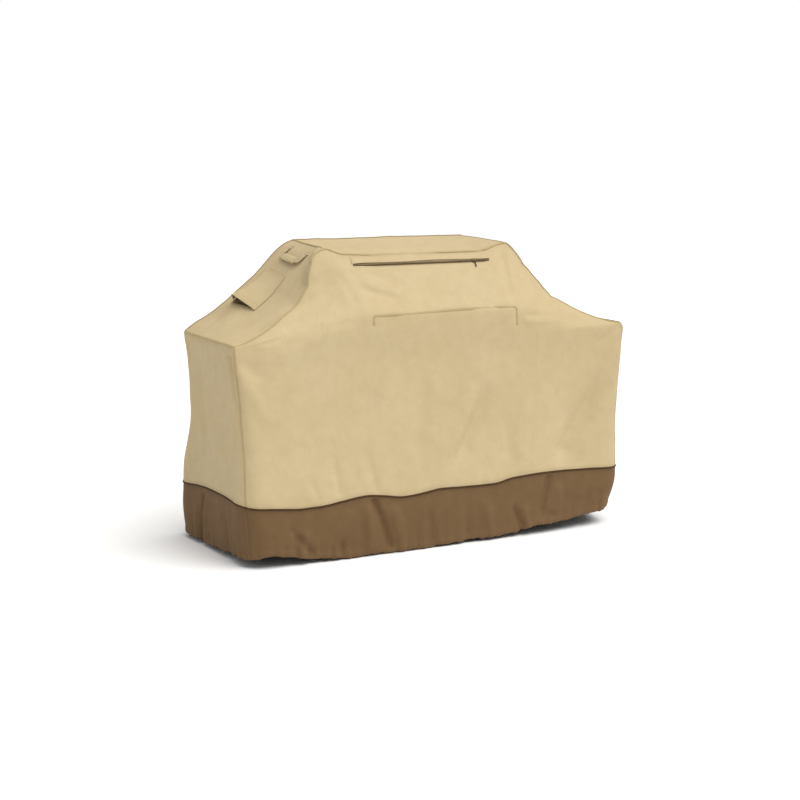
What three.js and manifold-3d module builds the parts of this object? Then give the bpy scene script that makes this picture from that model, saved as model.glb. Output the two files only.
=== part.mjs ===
// Fitted fabric cover for a cart barbecue: a tall centre hood, sloping shoulders, a contrasting
// skirt with a gathered elastic hem, a zipped pocket, two side vents, two handles and four leg straps.
// Millimetres, +Z up, +X along the length, the front faces -Y. The origin is on the floor under the
// middle of the cover.
import * as THREE from "three";
import { mergeVertices } from "three/addons/utils/BufferGeometryUtils.js";
import Module from "manifold-3d";

const wasm = await Module();
wasm.setup();

// ---- driving dimensions -------------------------------------------------------------------------
const HALF_L = 889; // half the length over the shoulders (70 in class)
const SHOULDER_Y = 280; // half the depth over the shoulders
const SEAM_Y = 330; // half the depth at the piping
const HEM_Y = 345; // half the depth at the hem
const SHOULDER_Z = 866; // height of the shoulder edge
const PIPING_Z = 234; // height of the piping between body and skirt
const HOOD_Z = 1224; // height of the hood's back edge (48 in class)
const HOOD_HALF_BACK = 400; // half the hood's length along its back edge
const HOOD_HALF_FRONT = 415; // and along its front edge
const HOOD_CORNER_Z = 1211; // the hood's two front corners stand proud
const HOOD_FRONT_Z = 1183; // and the seam sags between them
const TAB_HALF = 330; // half the width of the front panel's raised tab
const TAB_Z = 958; // top of that tab
const T = 1.5; // coated polyester with its turned seams
const WEB = 25; // webbing width
const ZIP_Y = 230.9; // zip's centreline, up the hood's front slope from the tab seam
const ZIP_LEFT = -316, ZIP_RIGHT = 300;
const SLIDER_X = 233; // where the slider rests
const ELASTIC_D = 4.5;

// ---- helpers ------------------------------------------------------------------------------------
const V = (x, y, z) => new THREE.Vector3(x, y, z);
const lerp = (a, b, t) => a + (b - a) * t;
const smooth = (a, b, x) => {
  const t = Math.min(1, Math.max(0, (x - a) / (b - a)));
  return t * t * (3 - 2 * t);
};
const table = (rows) => (x) => {
  if (x <= rows[0][0]) return rows[0][1];
  for (let i = 1; i < rows.length; i++)
    if (x <= rows[i][0])
      return lerp(rows[i - 1][1], rows[i][1], (x - rows[i - 1][0]) / (rows[i][0] - rows[i - 1][0]));
  return rows[rows.length - 1][1];
};
const colours = { tan: 0xcdb88c, brown: 0x7a6044, piping: 0x4a3013, tape: 0xb9a274, coil: 0x4a3723, pull: 0x3e2c1c, webbing: 0xb8a176, black: 0x1c1a18, mesh: 0x3a3228, steel: 0x8d8f92, elastic: 0x2a2622 };
const rough = { tan: 0.85, brown: 0.85, piping: 0.7, tape: 0.8, coil: 0.5, pull: 0.55, webbing: 0.8, black: 0.45, mesh: 0.9, steel: 0.35, elastic: 0.85 };
const mat = (c) => new THREE.MeshStandardMaterial({ color: colours[c], roughness: rough[c], metalness: c === "steel" ? 0.9 : 0 });

const cover = new THREE.Group();
const add = (name, geometry, colour, parent = cover) => {
  const mesh = new THREE.Mesh(geometry, mat(colour));
  mesh.name = name;
  parent.add(mesh);
  return mesh;
};

// A solid from a closed three.js geometry, and back.
const solid = (g) => {
  const bare = (g.index ? g.toNonIndexed() : g.clone());
  bare.deleteAttribute("normal");
  bare.deleteAttribute("uv");
  const m = mergeVertices(bare, 1e-3);
  return new wasm.Manifold(new wasm.Mesh({ numProp: 3, vertProperties: new Float32Array(m.attributes.position.array), triVerts: new Uint32Array(m.index.array) }));
};
const geometryOf = (s) => {
  const m = s.getMesh(), v = new Float32Array(m.numVert * 3);
  for (let i = 0; i < m.numVert; i++) v.set(m.vertProperties.subarray(i * m.numProp, i * m.numProp + 3), i * 3);
  return new THREE.BufferGeometry().setAttribute("position", new THREE.BufferAttribute(v, 3)).setIndex(new THREE.BufferAttribute(new Uint32Array(m.triVerts), 1));
};
const box = (x0, x1, y0, y1, z0, z1) =>
  new THREE.BoxGeometry(x1 - x0, y1 - y0, z1 - z0).translate((x0 + x1) / 2, (y0 + y1) / 2, (z0 + z1) / 2);
const join = (...gs) => geometryOf(gs.map(solid).reduce((a, b) => a.add(b)));
const cut = (g, ...tools) => geometryOf(tools.map(solid).reduce((a, b) => a.subtract(b), solid(g)));

// A sheet of cloth of thickness t, from a grid of points on its outer face: grid[i][j], with
// (next i) x (next j) pointing out. It is a box with that many segments, bent onto the grid.
const sheet = (grid, t = T) => {
  const nu = grid.length - 1, nv = grid[0].length - 1;
  const inner = grid.map((column, i) => column.map((p, j) => {
    const du = grid[Math.min(i + 1, nu)][j].clone().sub(grid[Math.max(i - 1, 0)][j]);
    const dv = grid[i][Math.min(j + 1, nv)].clone().sub(grid[i][Math.max(j - 1, 0)]);
    return p.clone().addScaledVector(du.cross(dv).normalize(), -t);
  }));
  const g = new THREE.BoxGeometry(1, 1, 1, nu, nv, 1), pos = g.attributes.position;
  for (let k = 0; k < pos.count; k++) {
    const i = Math.round((pos.getX(k) + 0.5) * nu), j = Math.round((pos.getY(k) + 0.5) * nv);
    const p = (pos.getZ(k) > 0 ? grid : inner)[i][j];
    pos.setXYZ(k, p.x, p.y, p.z);
  }
  // the inner face takes the outer face's diagonals, so the cloth is the same thickness where it twists
  const { start, count } = g.groups[5], id = g.index;
  for (let k = start; k < start + count; k += 6) {
    const [a, b, d, , c] = [0, 1, 2, 3, 4].map((q) => id.getX(k + q));
    [a, b, c, a, c, d].forEach((v, q) => id.setX(k + q, v));
  }
  g.clearGroups();
  g.deleteAttribute("normal");
  g.deleteAttribute("uv");
  return g;
};
// A cord along a level run of points, one ring at each point, with flat ends.
const cord = (points, d, sides = 8) => {
  const n = points.length - 1, g = new THREE.CylinderGeometry(1, 1, 1, sides, n), pos = g.attributes.position;
  for (let k = 0; k < pos.count; k++) {
    const i = Math.round((pos.getY(k) + 0.5) * n), x = pos.getX(k), z = pos.getZ(k);
    const before = points[Math.max(i - 1, 0)], after = points[Math.min(i + 1, n)];
    const side = after.clone().sub(before).cross(V(0, 0, 1)).normalize();
    const p = points[i].clone().addScaledVector(side, (x * d) / 2);
    pos.setXYZ(k, p.x, p.y, p.z + (z * d) / 2);
  }
  g.clearGroups();
  g.deleteAttribute("normal");
  g.deleteAttribute("uv");
  return g;
};
// A round tube along points, with flat ends.
const tube = (points, d, steps, sides = 8) => {
  const s = new THREE.Shape();
  for (let i = 0; i <= sides; i++) {
    const a = (i / sides) * 2 * Math.PI;
    if (i === 0) s.moveTo(Math.cos(a) * d / 2, Math.sin(a) * d / 2);
    else if (i < sides) s.lineTo(Math.cos(a) * d / 2, Math.sin(a) * d / 2);
  }
  s.closePath();
  const path = new THREE.CatmullRomCurve3(points, false, "centripetal");
  return new THREE.ExtrudeGeometry(s, { steps, extrudePath: path, bevelEnabled: false });
};

// ---- the body's walls ---------------------------------------------------------------------------
const halfLength = table([[0, 878], [PIPING_Z, 884], [700, 886], [SHOULDER_Z, HALF_L], [1300, HALF_L]]);
const halfDepth = table([[0, HEM_Y], [PIPING_Z, SEAM_Y], [800, SHOULDER_Y], [1300, SHOULDER_Y]]);
const cornerR = table([[0, 110], [PIPING_Z, 95], [600, 62], [SHOULDER_Z, 6], [1300, 6]]);
const ARC = [0, 15, 30, 45].map((d) => (d * Math.PI) / 180);

// Columns of a wall: each gives its plan point at height z, n inwards of the outer face.
// side: 0 front, 1 right, 2 back, 3 left. The corner seams are at 45 degrees round each corner.
const wallColumns = (side, straight, gap = 0.35) => {
  const along = side % 2 === 0 ? halfLength : halfDepth, out = side % 2 === 0 ? halfDepth : halfLength;
  const place = (x, y) => (side === 0 ? [x, -y] : side === 2 ? [-x, y] : side === 1 ? [y, x] : [-y, -x]);
  const corner = (a, sign) => (z, n) => {
    const r = cornerR(z), shrink = a === ARC[3] ? gap / Math.max(r, 1) : 0, q = a - shrink;
    return place(sign * (along(z) - r + Math.sin(q) * (r - n)), out(z) - r + Math.cos(q) * (r - n));
  };
  // the straight part narrows downwards as the corners' radius grows
  const middle = straight.map((x) => (z, n) => place((x * (along(z) - cornerR(z))) / (along(SHOULDER_Z) - cornerR(SHOULDER_Z)), out(z) - n));
  return { columns: [...ARC.slice().reverse().map((a) => corner(a, -1)), ...middle, ...ARC.map((a) => corner(a, 1))], arcs: ARC.length };
};
const WALL_ROWS = [PIPING_Z + 3, 360, 480, 600, 700, 800];
const wall = (side, straight, zTop, above = 1, t = T) => {
  const { columns, arcs } = wallColumns(side, straight);
  const n = columns.length;
  return sheet(columns.map((c, i) => {
    const isArc = i < arcs || i >= n - arcs;
    const top = isArc ? SHOULDER_Z - 2.8 : zTop(straight[i - arcs]);
    const zs = [...WALL_ROWS, ...Array.from({ length: above }, (_, j) => lerp(800, top, (j + 1) / above))];
    return zs.map((z) => {
      const [x, y] = c(z, 0);
      return V(x, y, z);
    });
  }), t);
};

// ---- hood and shoulder curves (given for the right end; the left is mirrored) --------------------
const backEdge = [[HOOD_HALF_BACK, HOOD_Z], [440, 1208], [480, 1179], [527, 1135], [588, 1079], [666, 1018], [712, 984], [777, 938], [835, 905], [870, 879], [HALF_L, SHOULDER_Z]];
const seamEdge = [[HOOD_HALF_FRONT, HOOD_CORNER_Z], [434, 1194], [478, 1136], [515, 1082], [548, 1040], [575, 1008], [608, 980], [648, 956], [700, 926], [755, 902], [806, 884], [855, 871], [HALF_L, SHOULDER_Z]];
const seamPlanY = (x) => -95 + ((x - HOOD_HALF_FRONT) / (HALF_L - HOOD_HALF_FRONT)) * (-SHOULDER_Y + 95);
const curve = (points) => {
  const c = new THREE.CatmullRomCurve3(points, false, "centripetal");
  return (t) => c.getPointAt(Math.min(1, Math.max(0, t)));
};
const backCurve = curve(backEdge.map(([x, z]) => V(x, SHOULDER_Y, z)));
const seamCurve = curve(seamEdge.map(([x, z]) => V(x, seamPlanY(x), z)));
const bell = table(backEdge);

// Right shoulder surface: u from the back edge (0) to the front seam (1), t from the hood down.
const shoulder = (u, t, lift = 0) => {
  const at = (uu, tt) => backCurve(tt).lerp(seamCurve(tt), uu);
  const p = at(u, t), e = 0.004;
  const du = at(Math.min(1, u + e), t).sub(at(Math.max(0, u - e), t));
  const dt = at(u, Math.min(1, t + e)).sub(at(u, Math.max(0, t - e)));
  const n = dt.cross(du).normalize();
  if (n.z < 0) n.negate();
  return p.addScaledVector(n, lift);
};
const mirror = (p) => V(-p.x, p.y, p.z);

// ---- fabric panels ------------------------------------------------------------------------------
const wide = [-720, -540, -400, -TAB_HALF, -TAB_HALF + 0.9, -110, 110, TAB_HALF - 0.9, TAB_HALF, 400, 540, 720];
add("front_panel", wall(0, wide, (x) => (Math.abs(x) < TAB_HALF - 0.5 ? TAB_Z - 2.6 : SHOULDER_Z - 2.8)), "tan");
const backXs = [-835, -777, -712, -666, -588, -527, -480, -440, -402, -200, 0, 200, 402, 440, 480, 527, 588, 666, 712, 777, 835];
add("back_panel", wall(2, backXs, (x) => (Math.abs(x) < 403 ? HOOD_Z - 2.8 : bell(Math.abs(x)) - 2.8), 2), "tan");
add("right_end_panel", wall(1, [-140, 0, 140], () => SHOULDER_Z - 2.8), "tan");
add("left_end_panel", wall(3, [-140, 0, 140], () => SHOULDER_Z - 2.8), "tan");

// Hood's front slope, its seams with the top and the tab, and the two wings that fold down to the shoulders.
const SLOPE = new THREE.Vector2(185, HOOD_CORNER_Z - TAB_Z).normalize(); // (y, z) up the slope
const topSeamZ = (x) => HOOD_FRONT_Z + (HOOD_CORNER_Z - HOOD_FRONT_Z) * smooth(270, 395, Math.abs(x));
const HOOD_XS = [-395, -370, -332, -300, -270, -140, 0, 140, 270, 300, 332, 370, 395];
const onSlope = (x, z) => V(x, -SHOULDER_Y + ((z - TAB_Z) * SLOPE.x) / SLOPE.y, z);
{
  const rows = 12, columns = [];
  const crease = curve([V(HOOD_HALF_FRONT - 9, onSlope(0, HOOD_CORNER_Z - 2).y, HOOD_CORNER_Z - 2.6), onSlope(368, 1085).setX(368), V(TAB_HALF + 1.6, -SHOULDER_Y, TAB_Z)]);
  const K = (t) => (t <= 0.76 ? crease(t / 0.76) : V(TAB_HALF + 1.6, -SHOULDER_Y, lerp(TAB_Z, SHOULDER_Z + 0.3, (t - 0.76) / 0.24)));
  const E = (t) => { const p = seamCurve(t); if (t === 0) p.z -= 2.2; if (t === 1) { p.z += 0.3; p.x -= 0.4; } return p; };
  const wing = (s) => Array.from({ length: rows + 1 }, (_, j) => K(j / rows).lerp(E(j / rows), s));
  // between the wings: from the top seam down to the tab's seam
  const centre = (xt) => {
    const top = onSlope(xt, topSeamZ(xt) - 2.6), bottom = V((xt / 406) * (TAB_HALF + 0.8), -SHOULDER_Y, TAB_Z + 0.4);
    return Array.from({ length: rows + 1 }, (_, j) => top.clone().lerp(bottom, j / rows));
  };
  // the centre runs a millimetre past each crease so that it and the wings are one cloth
  const crossed = (sign) => Array.from({ length: rows + 1 }, (_, j) => { const p = crease(j / rows); p.x += 1; return sign < 0 ? mirror(p) : p; });
  columns.push(crossed(-1), ...HOOD_XS.map(centre), crossed(1));
  const wings = [0, 0.2, 0.4, 0.6, 0.8, 1].map(wing);
  // rows run down the slope, so turn them over to keep the outside out
  const g = join(...[columns, wings, wings.slice().reverse().map((c) => c.map(mirror))].map((a) => sheet(a.map((c) => c.slice().reverse()))));
  const slot = box(ZIP_LEFT - 6, ZIP_RIGHT + 6, ZIP_Y - 7.5, ZIP_Y + 7.5, -6, 6);
  slot.applyMatrix4(new THREE.Matrix4().makeRotationX(Math.atan2(SLOPE.y, SLOPE.x)).setPosition(0, -SHOULDER_Y, TAB_Z));
  add("hood_front_panel", cut(g, slot), "tan");
}
{
  const xs = [-HOOD_HALF_FRONT + 0.6, ...HOOD_XS, HOOD_HALF_FRONT - 0.6], rows = 4;
  add("hood_top_panel", sheet(xs.map((x) => {
    const front = onSlope(x, topSeamZ(x)), back = V((x / HOOD_HALF_FRONT) * HOOD_HALF_BACK, SHOULDER_Y - 0.1, HOOD_Z);
    return Array.from({ length: rows + 1 }, (_, j) => front.clone().lerp(back, j / rows));
  })), "tan");
}

// Shoulders, each with the opening that its vent breathes through.
const VENT = { t0: 0.295, t1: 0.615, u0: 0.11, u1: 0.55 }; // the flap's outline on the shoulder
{
  const nu = 8, nt = 12;
  const grid = (side) => {
    const columns = [];
    for (let i = 0; i <= nu; i++) {
      const u = lerp(0.0055, 0.992, i / nu);
      columns.push(Array.from({ length: nt + 1 }, (_, j) => {
        const p = shoulder(u, lerp(0.006, 0.9992, j / nt));
        return side < 0 ? mirror(p) : p;
      }));
    }
    return side < 0 ? columns.reverse() : columns;
  };
  const hole = (side) => {
    const tm = lerp(VENT.t0, VENT.t1, 0.56), um = (VENT.u0 + VENT.u1) / 2, c = shoulder(um, tm);
    const along = shoulder(um, tm + 0.05).sub(shoulder(um, tm - 0.05)).normalize();
    const across = V(0, 1, 0), n = along.clone().cross(across).normalize();
    const m = new THREE.Matrix4().makeBasis(along, across, n).setPosition(c);
    const g = box(-52, 52, -72, 72, -20, 20).applyMatrix4(m);
    if (side < 0) {
      const p = g.attributes.position;
      for (let k = 0; k < p.count; k++) p.setX(k, -p.getX(k));
      const i = g.index;
      for (let k = 0; k < i.count; k += 3) { const a = i.getX(k + 1); i.setX(k + 1, i.getX(k + 2)); i.setX(k + 2, a); }
    }
    return g;
  };
  for (const [name, side] of [["right", 1], ["left", -1]]) {
    const g = sheet(grid(side).map((c) => c.slice().reverse()).reverse());
    add(`${name}_shoulder_panel`, cut(g, hole(side)), "tan");
  }
}

// ---- skirt: an outer wall whose hem turns in and up into a channel for the elastic ---------------
const CHANNEL = 11, CHANNEL_TOP = 32;
const skirt = (side, straight) => {
  const { columns } = wallColumns(side, straight);
  const section = [[2.2, CHANNEL_TOP + 3.4], [CHANNEL - 1.5, CHANNEL_TOP], [CHANNEL, 18], [CHANNEL, 4], [CHANNEL - 2, 0], [2, 0], [0, 4], [0, 80], [0, 155], [0, PIPING_Z - 3]];
  return sheet(columns.map((c) => section.map(([n, z]) => { const [x, y] = c(z, n); return V(x, y, z); })));
};
const skirtXs = [-600, -300, 0, 300, 600];
add("front_skirt", skirt(0, skirtXs), "brown");
{
  const window = box(-34, 34, HEM_Y - 16, HEM_Y - 2.6, -2, CHANNEL_TOP + 8);
  add("back_skirt", cut(skirt(2, [-600, -300, -36, 36, 300, 600]), window), "brown");
}
add("right_skirt", skirt(1, [-110, 110]), "brown");
add("left_skirt", skirt(3, [-110, 110]), "brown");

// A closed run round the cover at height z, n inside the outer face, starting at back centre + from.
const ring = (z, n, from, to) => {
  const a = halfLength(z) - n, b = halfDepth(z) - n, r = cornerR(z) - n, pts = [];
  const arc = (cx, cy, a0) => { for (const d of [0, 15, 30, 45, 60, 75, 90]) { const q = ((a0 - d) * Math.PI) / 180; pts.push(V(cx + r * Math.cos(q), cy + r * Math.sin(q), z)); } };
  pts.push(V(from, b, z), V(300, b, z));
  arc(a - r, b - r, 90);
  arc(a - r, -b + r, 0);
  pts.push(V(0, -b, z));
  arc(-a + r, -b + r, -90);
  arc(-a + r, b - r, 180);
  pts.push(V(-300, b, z), V(to, b, z));
  return pts;
};
add("skirt_piping", cord(ring(PIPING_Z, -0.9, 0.3, -0.3), 4.8), "piping");
add("hem_elastic", cord(ring(14, 5.9, -20.4, -30), ELASTIC_D), "elastic");

// ---- cord lock on the elastic, in the gap of the back hem ----------------------------------------
{
  const g = new THREE.Group();
  g.position.set(0, halfDepth(14) - 5.9, 14);
  cover.add(g);
  const bore = () => new THREE.CylinderGeometry(2.7, 2.7, 60, 12).rotateZ(Math.PI / 2);
  const shell = box(-11, 11, -7.4, 3.2, -12.8, 12);
  // plunger's well, open at the top, and the cord's bore across it
  add("cord_lock_body", cut(shell, box(-6.4, 6.4, -5.4, 1.4, -11.2, 20), bore()), "black", g);
  const stem = join(box(-6, 6, -5, 1, -4.6, 16), box(-7.4, 7.4, -6.4, 2.4, 15.6, 19.6));
  add("cord_lock_button", cut(stem, box(-20, 20, -2.7, 2.7, -2.9, 7.2)), "black", g);
  add("cord_lock_spring", tube(Array.from({ length: 25 }, (_, i) => { const a = (i / 24) * 3 * 2 * Math.PI; return V(1.9 * Math.cos(a), -2 + 1.9 * Math.sin(a), lerp(-10.6, -5.15, i / 24)); }), 0.6, 48, 6), "steel", g);
}
add("elastic_end_knot", new THREE.SphereGeometry(4.4, 12, 8).translate(-25.2, halfDepth(14) - 5.9, 14), "elastic");

// ---- zipped pocket on the hood's front slope -----------------------------------------------------
{
  const g = new THREE.Group();
  g.rotation.x = Math.atan2(SLOPE.y, SLOPE.x);
  g.position.set(0, -SHOULDER_Y, TAB_Z);
  cover.add(g);
  g.name = "";
  const Y = ZIP_Y;
  add("zip_tape_upper", box(ZIP_LEFT - 10, ZIP_RIGHT + 10, Y + 1.3, Y + 24, -2.7, -1.9), "tape", g);
  add("zip_tape_lower", box(ZIP_LEFT - 10, ZIP_RIGHT + 10, Y - 24, Y - 1.3, -2.7, -1.9), "tape", g);
  add("zip_coil_upper", box(ZIP_LEFT, ZIP_RIGHT, Y + 0.9, Y + 3.6, -1.5, 0.8), "coil", g);
  add("zip_coil_lower", box(ZIP_LEFT, ZIP_RIGHT, Y - 3.6, Y - 0.9, -1.5, 0.8), "coil", g);
  add("zip_stop_left", box(ZIP_LEFT - 4.3, ZIP_LEFT - 0.3, Y - 3.6, Y + 3.6, -1.5, 1.4), "steel", g);
  add("zip_stop_right", box(ZIP_RIGHT + 0.3, ZIP_RIGHT + 4.3, Y - 3.6, Y + 3.6, -1.5, 1.4), "steel", g);
  // the pocket's bag: its rim is sewn to the back of the panel, and it hangs a little slack
  add("pocket_lining", cut(box(ZIP_LEFT - 14, ZIP_RIGHT + 14, Y - 200, Y + 24, -20, -3.1), box(ZIP_LEFT - 12.8, ZIP_RIGHT + 12.8, Y - 198.8, Y + 22.8, -18.8, 5)), "tape", g);
  // a stiffened strip from the top seam down, sewn along its upper edge, that sheds rain over the zip
  const flap = new THREE.Shape();
  flap.moveTo(45, 0.6); flap.lineTo(45, 1.5); flap.lineTo(31, 3.0); flap.lineTo(17, 4.4); flap.lineTo(8, 5.2); flap.lineTo(8, 4.0); flap.lineTo(17, 3.2); flap.lineTo(31, 1.8); flap.closePath();
  const fg = new THREE.ExtrudeGeometry(flap, { depth: ZIP_RIGHT - ZIP_LEFT + 20, bevelEnabled: false });
  // shape (x, y) is (up the slope, out of it); the extrusion runs along the zip
  fg.applyMatrix4(new THREE.Matrix4().makeBasis(V(0, 1, 0), V(0, 0, 1), V(1, 0, 0))).translate(ZIP_LEFT - 10, Y, 0);
  add("zip_rain_flap", fg, "tan", g);
  const s = new THREE.Group();
  s.position.set(SLIDER_X, Y, 0);
  g.add(s);
  add("zip_slider", join(
    box(-8, 8, -6.4, 6.4, 1.3, 2.9), box(-8, 8, -6.4, 6.4, -4.9, -3.3), box(-3, 3, -0.5, 0.5, -4, 2),
    box(-1.2, 1.2, 3.2, 4.8, 2, 6.9), box(-1.2, 1.2, -4.8, -3.2, 2, 6.9), box(-1.2, 1.2, -4.8, 4.8, 5.3, 6.9),
  ), "steel", s);
  add("zip_pull_tab", cut(join(box(-4.8, 4.8, -9.6, 0.7, 3.4, 4.8), box(-2.7, 2.7, -29, -9, 3.4, 4.8)), box(-3.2, 3.2, -8, -0.7, 0, 9)), "pull", s);
}

// ---- side vents, handles -------------------------------------------------------------------------
for (const [name, side] of [["left", -1], ["right", 1]]) {
  const place = (p) => (side < 0 ? mirror(p) : p);
  // (columns across the slope, rows down it); reversed for the mirrored side to keep the outside out
  const grid = (nu, nt, f) => {
    const c = Array.from({ length: nu + 1 }, (_, i) => Array.from({ length: nt + 1 }, (_, j) => place(f(i / nu, 1 - j / nt))));
    return side < 0 ? c : c.reverse();
  };
  const lip = (q) => (q < 0.16 ? smooth(0, 0.16, q) : 1 - Math.pow((q - 0.16) / 0.84, 1.15)); // highest near the back end
  // the flap's outer face; its panels are flat between these lines
  const AS = [0, 0.05, 0.1, 0.16, 0.25, 0.35, 0.45, 0.55, 0.65, 0.75, 0.85, 0.93, 1], BS = [0, 0.15, 0.3, 0.45, 0.6, 0.75, 0.875, 1];
  const outer = (a, b) => shoulder(lerp(VENT.u0, VENT.u1, a), lerp(VENT.t0, VENT.t1, b), 4.2 + 36 * lip(a) * Math.pow(b, 1.4));
  const lines = (as, bs, f) => { const c = as.map((a) => bs.slice().reverse().map((b) => place(f(a, b)))); return side < 0 ? c : c.reverse(); };
  add(`${name}_vent_flap`, sheet(lines(AS, BS, outer), 1.2), "tan");
  // stiff stay sewn behind the lip, which keeps it open
  const behind = (a, b) => {
    const e = 0.012, da = outer(Math.min(1, a + e), b).sub(outer(Math.max(0, a - e), b)), db = outer(a, b + e).sub(outer(a, b - e));
    const n = db.cross(da).normalize();
    if (n.z < 0) n.negate();
    return outer(a, b).addScaledVector(n, -2.1);
  };
  add(`${name}_vent_stay`, sheet(lines(AS.slice(4, -2), [0.8, 0.875, 0.95], behind), 1), "black");
  add(`${name}_vent_mesh`, sheet(grid(4, 5, (a, b) => shoulder(lerp(VENT.u0 + 0.02, VENT.u1 - 0.02, a), lerp(VENT.t0 + 0.01, VENT.t1 - 0.03, b), -2.2)), 0.8), "mesh");

  // handle: a loop of webbing in a padded sleeve that lies down the shoulder and swings up
  const t = 0.098, u = 0.44, c = shoulder(u, t, 5.5), e = 0.02;
  const axis = shoulder(u - 0.2, t, 5.5).sub(shoulder(u + 0.2, t, 5.5)).normalize(); // towards the back
  const down = shoulder(u, t + 0.085, 11.5).sub(c); down.addScaledVector(axis, -down.dot(axis)).normalize();
  const m = new THREE.Matrix4().makeBasis(place(down), place(axis), place(down).clone().cross(place(axis)).normalize());
  const g = new THREE.Group();
  m.setPosition(place(c));
  g.applyMatrix4(m);
  cover.add(g);
  const up = side > 0 ? 1 : -1; // local z points out on the right and in on the left
  const z = (a, b) => (up > 0 ? [a, b] : [-b, -a]);
  const slab = (x0, x1, y0, y1, a, b) => box(x0, x1, y0, y1, ...z(a, b));
  add(`${name}_handle_webbing`, join(slab(1.7, 46, -100, -75, -0.9, 0.9), slab(1.7, 46, 75, 100, -0.9, 0.9), slab(30, 55, -100, 100, -0.9, 0.9)), "webbing", g);
  const sleeve = new THREE.CylinderGeometry(1, 1, 130, 16).applyMatrix4(new THREE.Matrix4().makeScale(17, 1, 5.6)).translate(42.5, 0, 0);
  add(`${name}_handle_sleeve`, cut(sleeve, box(29.4, 55.6, -80, 80, -1.3, 1.3)), "tan", g);
  add(`${name}_handle_tack_front`, slab(-24, 0.3, side > 0 ? -102 : -102, side > 0 ? -73 : -73, -1.4, 0.6), "webbing", g);
  add(`${name}_handle_tack_back`, slab(-24, 0.3, 73, 102, -1.4, 0.6), "webbing", g);
}

// ---- leg straps: webbing with side-release buckle halves, hanging inside the skirt ---------------
const STRAP_X = 640, STRAP_TOP = 168, STRAP_Y = 322, LEAN = Math.atan((HEM_Y - SEAM_Y) / PIPING_Z);
for (const [xn, sx] of [["left", -1], ["right", 1]])
  for (const [yn, sy] of [["front", -1], ["back", 1]]) {
    const g = new THREE.Group(), name = `${xn}_${yn}`;
    g.position.set(sx * STRAP_X, sy * STRAP_Y, STRAP_TOP);
    if (sy > 0) g.rotation.z = Math.PI; // local -Y always faces the wall
    cover.add(g);
    const wallY = -(halfDepth(STRAP_TOP) - T - STRAP_Y); // the skirt's inner face at the strap's top
    const onWall = (geo) => geo.rotateX(-LEAN).translate(0, wallY, 0);
    add(`${name}_strap_patch`, onWall(box(-27, 27, 0.35, 1.35, 6, 58)), "tape", g);
    add(`${name}_strap_tab`, onWall(join(box(-WEB / 2, WEB / 2, 1.7, 3.2, 10, 50), box(-WEB / 2, WEB / 2, 1.7, -wallY + 0.9, 3.4, 10.4))), "black", g);
    add(`${name}_strap`, box(-WEB / 2, WEB / 2, -0.8, 0.8, -70, 0.8), "black", g);
    if (sy < 0) {
      // socket half: open end down
      const body = join(box(-17, 17, -5.6, 5.6, -114, -76), box(-16, 16, -3.6, 3.6, -77, -61));
      add(`${name}_buckle_socket`, cut(body,
        box(-13, 13, -3.2, 3.2, -120, -88), // mouth for the prongs
        box(-30, 30, -2.6, 2.6, -106, -92), // side windows
        box(-13, 13, -1.15, 1.15, -71, -50), // the webbing's slot
      ), "black", g);
    } else {
      add(`${name}_buckle_prongs`, join(
        cut(box(-16, 16, -3.6, 3.6, -82, -61), box(-13, 13, -1.15, 1.15, -71, -50)),
        box(-12.4, -8.4, -2.6, 2.6, -110, -80), box(8.4, 12.4, -2.6, 2.6, -110, -80), box(-2, 2, -2, 2, -112, -80),
        box(-15.4, -9, -2.2, 2.2, -108, -98), box(9, 15.4, -2.2, 2.2, -108, -98),
      ), "black", g);
    }
  }

export default cover;
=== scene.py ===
import math

import bpy
import numpy as np
from mathutils import Matrix, Vector


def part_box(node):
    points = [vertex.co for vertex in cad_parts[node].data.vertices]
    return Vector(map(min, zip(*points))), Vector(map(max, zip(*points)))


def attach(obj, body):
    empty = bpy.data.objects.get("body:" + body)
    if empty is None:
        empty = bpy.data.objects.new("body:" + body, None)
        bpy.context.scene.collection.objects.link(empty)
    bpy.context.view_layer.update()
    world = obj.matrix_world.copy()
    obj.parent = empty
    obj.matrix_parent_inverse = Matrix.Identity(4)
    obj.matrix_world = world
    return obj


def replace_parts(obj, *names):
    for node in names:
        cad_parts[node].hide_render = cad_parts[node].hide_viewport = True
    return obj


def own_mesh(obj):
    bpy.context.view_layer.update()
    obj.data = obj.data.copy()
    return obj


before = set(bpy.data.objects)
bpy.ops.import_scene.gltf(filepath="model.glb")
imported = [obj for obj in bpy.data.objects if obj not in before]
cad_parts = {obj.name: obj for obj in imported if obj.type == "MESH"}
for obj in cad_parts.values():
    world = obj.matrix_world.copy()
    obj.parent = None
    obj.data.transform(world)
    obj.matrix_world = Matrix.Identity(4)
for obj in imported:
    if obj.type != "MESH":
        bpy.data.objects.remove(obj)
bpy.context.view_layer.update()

# The cover is worked out in millimetres, in the CAD's frame: +X along, the front faces -Y, +Z up.
MM = 0.001
T = 1.3  # cloth thickness
TAB_HALF, TAB_Z = 330.0, 958.0
SHOULDER_Y, SHOULDER_Z = 280.0, 866.0
HOOD_Z, HOOD_CORNER_Z, HOOD_FRONT_Z = 1224.0, 1211.0, 1183.0
HOOD_BACK, HOOD_FRONT, HALF_L = 400.0, 415.0, 889.0
SLOPE = math.atan2(253.0, 185.0)
V3 = lambda *a: np.array(a, float)


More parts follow.
